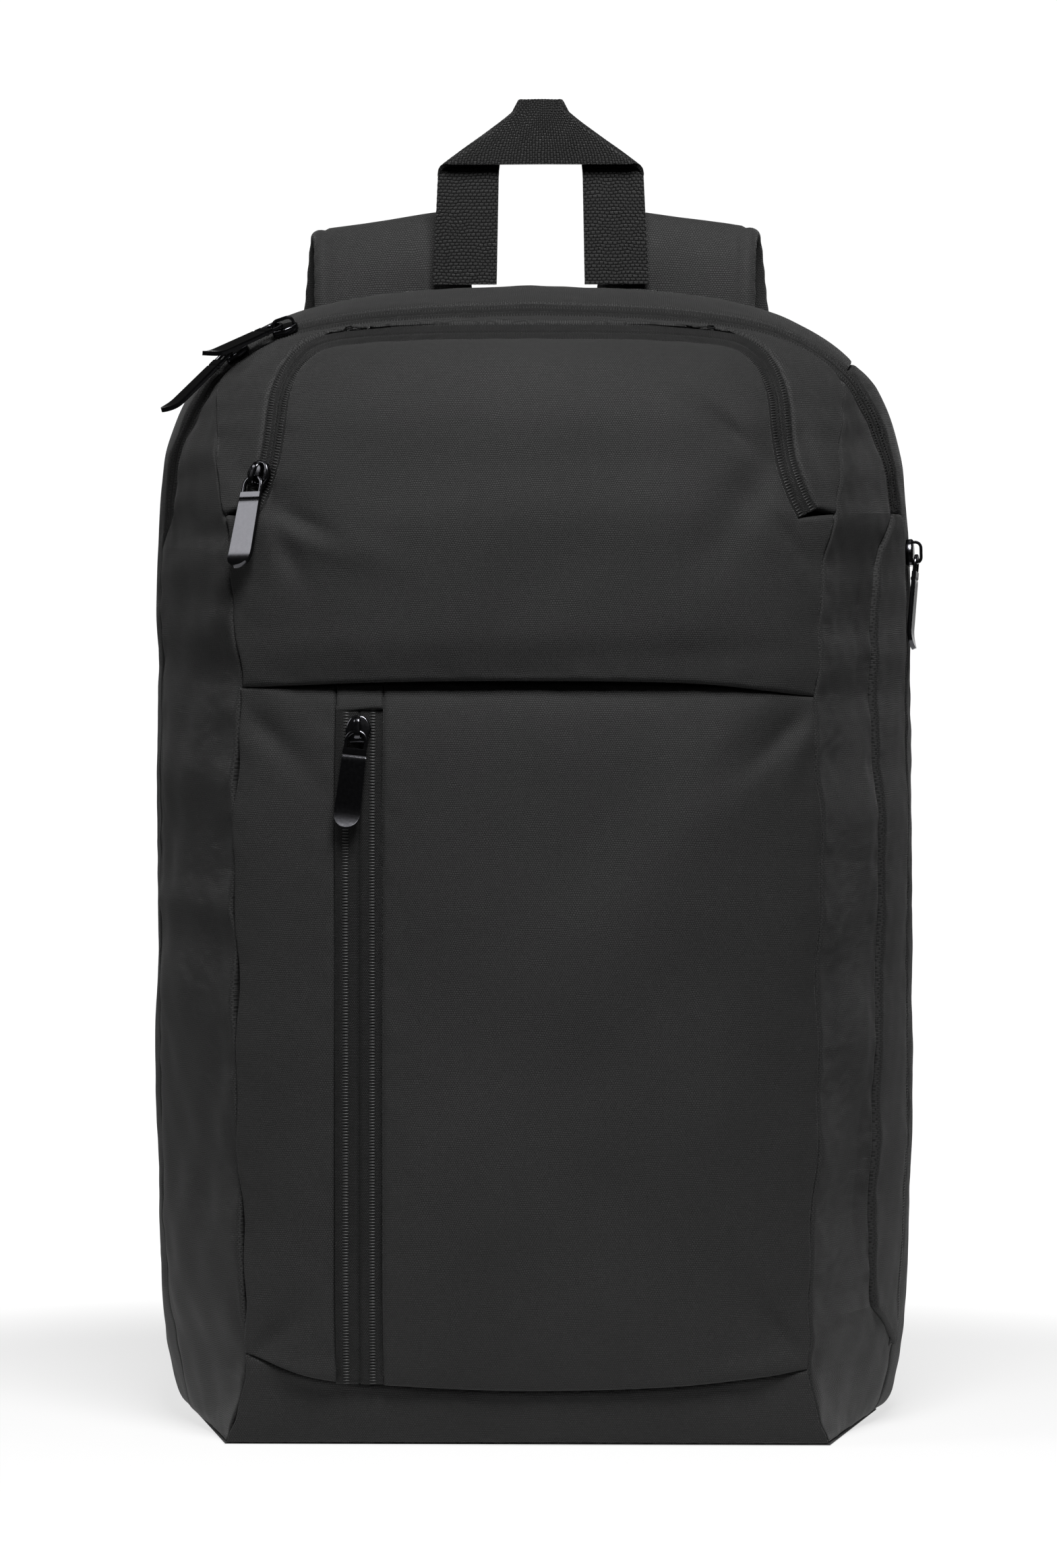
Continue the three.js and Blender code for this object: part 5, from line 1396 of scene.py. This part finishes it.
body = bevelled_plate("slider_body", SLIDER_OUTLINE, 0.3, 3.0, 0.6)
turns = np.linspace(0, math.pi, 13)
FOOT_REAR, FOOT_FRONT, BRIDGE_BEND, BRIDGE_LOW = -3.9, 4.1, 2.2, 3.7
arch = [(FOOT_REAR, 0, 2.5), (FOOT_FRONT, 0, 2.5)]
for sign, foot in ((1, FOOT_REAR), (-1, FOOT_FRONT)):
    bent = [
        (foot + sign * BRIDGE_BEND * (1 - math.cos(t / 2)), 0, BRIDGE_LOW + BRIDGE_BEND * math.sin(t / 2))
        for t in turns[::sign]
    ]
    arch[-1:-1] = bent
slider = join_pieces("slider", body, wire("bridge", arch, 2.4, 1.15))

RING_HALF, RING_BEND, RING_FOOT = 3.7, 3.4, 7.4
bent = [(RING_BEND * (1 - math.sin(t)), -RING_HALF * math.cos(t), 0) for t in turns]
eye = [
    (RING_FOOT, -RING_HALF, 0), (RING_BEND, -RING_HALF, 0), *bent, (RING_BEND, RING_HALF, 0),
    (RING_FOOT, RING_HALF, 0),
]
PULL_START, PULL_END, TIP_RADIUS = 6.2, 35.5, 4.85
rows = PULL_START + (PULL_END - PULL_START) * np.concatenate([
    np.linspace(0, 0.08, 5), [0.094, 0.1, 0.106], np.linspace(0.12, 0.82, 14),
    0.82 + 0.1795 * np.sin(np.linspace(0.1, math.pi / 2, 16)),
])
BEND_START, BEND_RISE, GROOVE_PLACE = 28.0, 0.034, 9.15
half = np.interp(rows, [PULL_START, 9.2, BEND_START], [4.35, 4.45, TIP_RADIUS])
past = np.clip(rows - (PULL_END - TIP_RADIUS), 0, TIP_RADIUS)
half = half * np.sqrt(np.maximum(1 - (past / TIP_RADIUS) ** 2, 0.004))
bend = np.where(rows > BEND_START, (rows - BEND_START) ** 2 * BEND_RISE, 0.0)
groove = -0.3 * np.exp(-(((rows - GROOVE_PLACE) / 0.22) ** 2))
columns = np.sin(np.linspace(math.pi / 2, -math.pi / 2, 13))
grid = place(rows[:, None], half[:, None] * columns[None, :], (bend + groove + 0.85)[:, None])
plate = grid_object("pull_plate", grid)
apply_modifier(plate, "metal", "SOLIDIFY", thickness=1.7 * MM, offset=-1)
apply_modifier(
    plate, "rim", "BEVEL", width=0.4 * MM, segments=3, limit_method="ANGLE",
    angle_limit=math.radians(60),
)
pull = join_pieces("pull", wire("eye", eye, 1.4, 1.4), plate)
print("slider and pull:", len(slider.data.vertices), len(pull.data.vertices), "points")


# %% Seats of the five sliders
def seat(surface, a, b, step_a, step_b):
    """Turn and place on a surface: x runs along the zip to the pull, z away from the cloth."""
    a, b = np.array(a), np.array(b)
    point = surface(a, b)
    along = unit(surface(a + step_a, b) - surface(a - step_a, b))
    beside = unit(surface(a, b + step_b) - surface(a, b - step_b))
    normal = unit(np.cross(along, beside))
    if normal @ inward(point) > 0:
        normal = -normal
    turned = Matrix(np.column_stack([along, np.cross(normal, along), normal]).tolist())
    return Matrix.Translation(Vector(point.tolist()) * MM) @ turned.to_4x4()


def on_pocket(z, x):
    return front_point(LOWER_CENTRE, x, z, TAPE_RECESS, fine=0.0)


def on_door(share, across):
    return front_point(UPPER_CENTRE, *door_zip(share, across), -0.3, fine=0.0)


def on_main(station, across):
    point = side_point(station, main_zip_share(station, across), -1, fine=0.0)
    return point + inward(point) * TAPE_RECESS


def on_side(station, share):
    return side_point(station, share, 1, fine=0.0)


SEATS = {
    "pocket": (seat(on_pocket, pocket_top - SLIDER_SETBACK, POCKET_ZIP_X, -1, 1), -7, 3),
    "front": (seat(on_door, 0.08, 0.0, -0.012, 1), 14, -7),
    "main_lower": (seat(on_main, 13.6, 0.0, -0.1, 1), 12, 7),
    "main_upper": (seat(on_main, 14.6, 0.0, -0.1, 1), 31, -2),
    "side": (seat(on_side, 9.57, (SIDE_ZIP_FRONT + SIDE_ZIP_REAR) / 2, -0.1, 0.05), 0, 6),
}


def copy_to(source, name, matrix, node, body):
    made = source.copy()
    made.data = source.data.copy()
    made.name = name
    made.data.transform(matrix)
    scene.collection.objects.link(made)
    finish_piece(made, [node], METAL, body)


HINGE_PLACE = (1.4 * MM, 0, 4.2 * MM)
for name, (turned, yaw, tilt) in SEATS.items():
    copy_to(slider, f"{name}_slider", turned, f"zip_slider_{name}", "bag")
    hung = (
        turned @ Matrix.Translation(HINGE_PLACE)
        @ Matrix.Rotation(math.radians(yaw), 4, "Z") @ Matrix.Rotation(math.radians(tilt), 4, "Y")
    )
    copy_to(pull, f"{name}_pull", hung, f"zip_pull_{name}", f"pull_{name}")
for source in (slider, pull):
    bpy.data.objects.remove(source)

# %% [markdown]
# ## Studio
# A product picture of a dark bag is lit from softboxes high in front, on a table of white paper. The
# light comes steeply from above, so that each fold shows, and falls off towards the floor. The table
# is a wedge, narrow in front and wide behind, so that little of its light reaches the bag's sides.
# The paper's emission is painted light: weaker near the bag, where the key lights it, and stronger
# away from it, where the softboxes reach less, so the paper shows white all over. The room is white
# behind the bag and almost dark elsewhere, which keeps the black metal dark.

# %% Table and room
TABLE_FRONT, TABLE_REAR, NEAR_HALF, FAR_HALF, TABLE_DROP = -0.4, 4.0, 0.3, 0.78, 0.0002
ROOM_DIM, ROOM_WHITE = 0.025, 1.05
bpy.ops.object.select_all(action="DESELECT")
bpy.ops.mesh.primitive_plane_add(size=1)
floor = bpy.context.object
floor.name = "floor"
for vertex in floor.data.vertices:
    half, y = (FAR_HALF, TABLE_REAR) if vertex.co.y > 0 else (NEAR_HALF, TABLE_FRONT)
    vertex.co = (math.copysign(half, vertex.co.x), y, -TABLE_DROP)


def smooth_range(owner, value, low, high, first, last):
    """A value's smooth run from first at low to last at high."""
    return add_node(
        owner, "ShaderNodeMapRange",
        {"Value": value, "From Min": low, "From Max": high, "To Min": first, "To Max": last},
        interpolation_type="SMOOTHSTEP",
    ).outputs["Result"]


paper = principled("white_paper", "#8c8c8c", 0.9, emission_color=(1, 1, 1, 1))
from_bag = add_node(
    paper, "ShaderNodeVectorMath",
    {0: add_node(paper, "ShaderNodeTexCoord").outputs["Object"]}, operation="LENGTH",
)
# Painted light: the paper glows weakly near the bag and more strongly away from it, in place of studio
# light on the table.
glow = smooth_range(paper, from_bag.outputs["Value"], 0.35, 0.7, 0.7, 1.05)
feed(paper, "Emission Strength", glow)
floor.data.materials.append(paper)
world = bpy.data.worlds.new("studio")
world.use_nodes = True
scene.world = world
direction = add_node(
    world, "ShaderNodeSeparateXYZ", {0: add_node(world, "ShaderNodeTexCoord").outputs["Generated"]}
)
behind = smooth_range(world, direction.outputs["Y"], 0.95, 0.975, 0.0, 1.0)
level = add_node(world, "ShaderNodeMath", {0: direction.outputs["Z"]}, operation="ABSOLUTE")
low = smooth_range(world, level.outputs[0], 0.2, 0.4, 1.0, 0.0)
white = add_node(world, "ShaderNodeMath", {0: behind, 1: low}, operation="MULTIPLY")
strength = add_node(
    world, "ShaderNodeMapRange",
    {"Value": white.outputs[0], "To Min": ROOM_DIM, "To Max": ROOM_WHITE},
)
background = world.node_tree.nodes["Background"]
world.node_tree.links.new(strength.outputs[0], background.inputs["Strength"])
background.inputs["Color"].default_value = (1, 1, 1, 1)


# %% Softboxes
def softbox(name, location, size, power):
    """A square area light that faces the bag's middle."""
    bpy.ops.object.light_add(type="AREA", location=location)
    lamp = bpy.context.object
    lamp.name = name
    lamp.data.size = size
    lamp.data.energy = power
    turn = Vector((0, 0, 0.25)) - lamp.location
    lamp.rotation_euler = turn.to_track_quat("-Z", "Y").to_euler()


softbox("key", (0.1, -0.68, 1.15), 0.45, 19)
softbox("side", (-1.2, -0.5, 1.2), 0.6, 5)
softbox("top", (0.1, 0.4, 1.7), 0.8, 1)
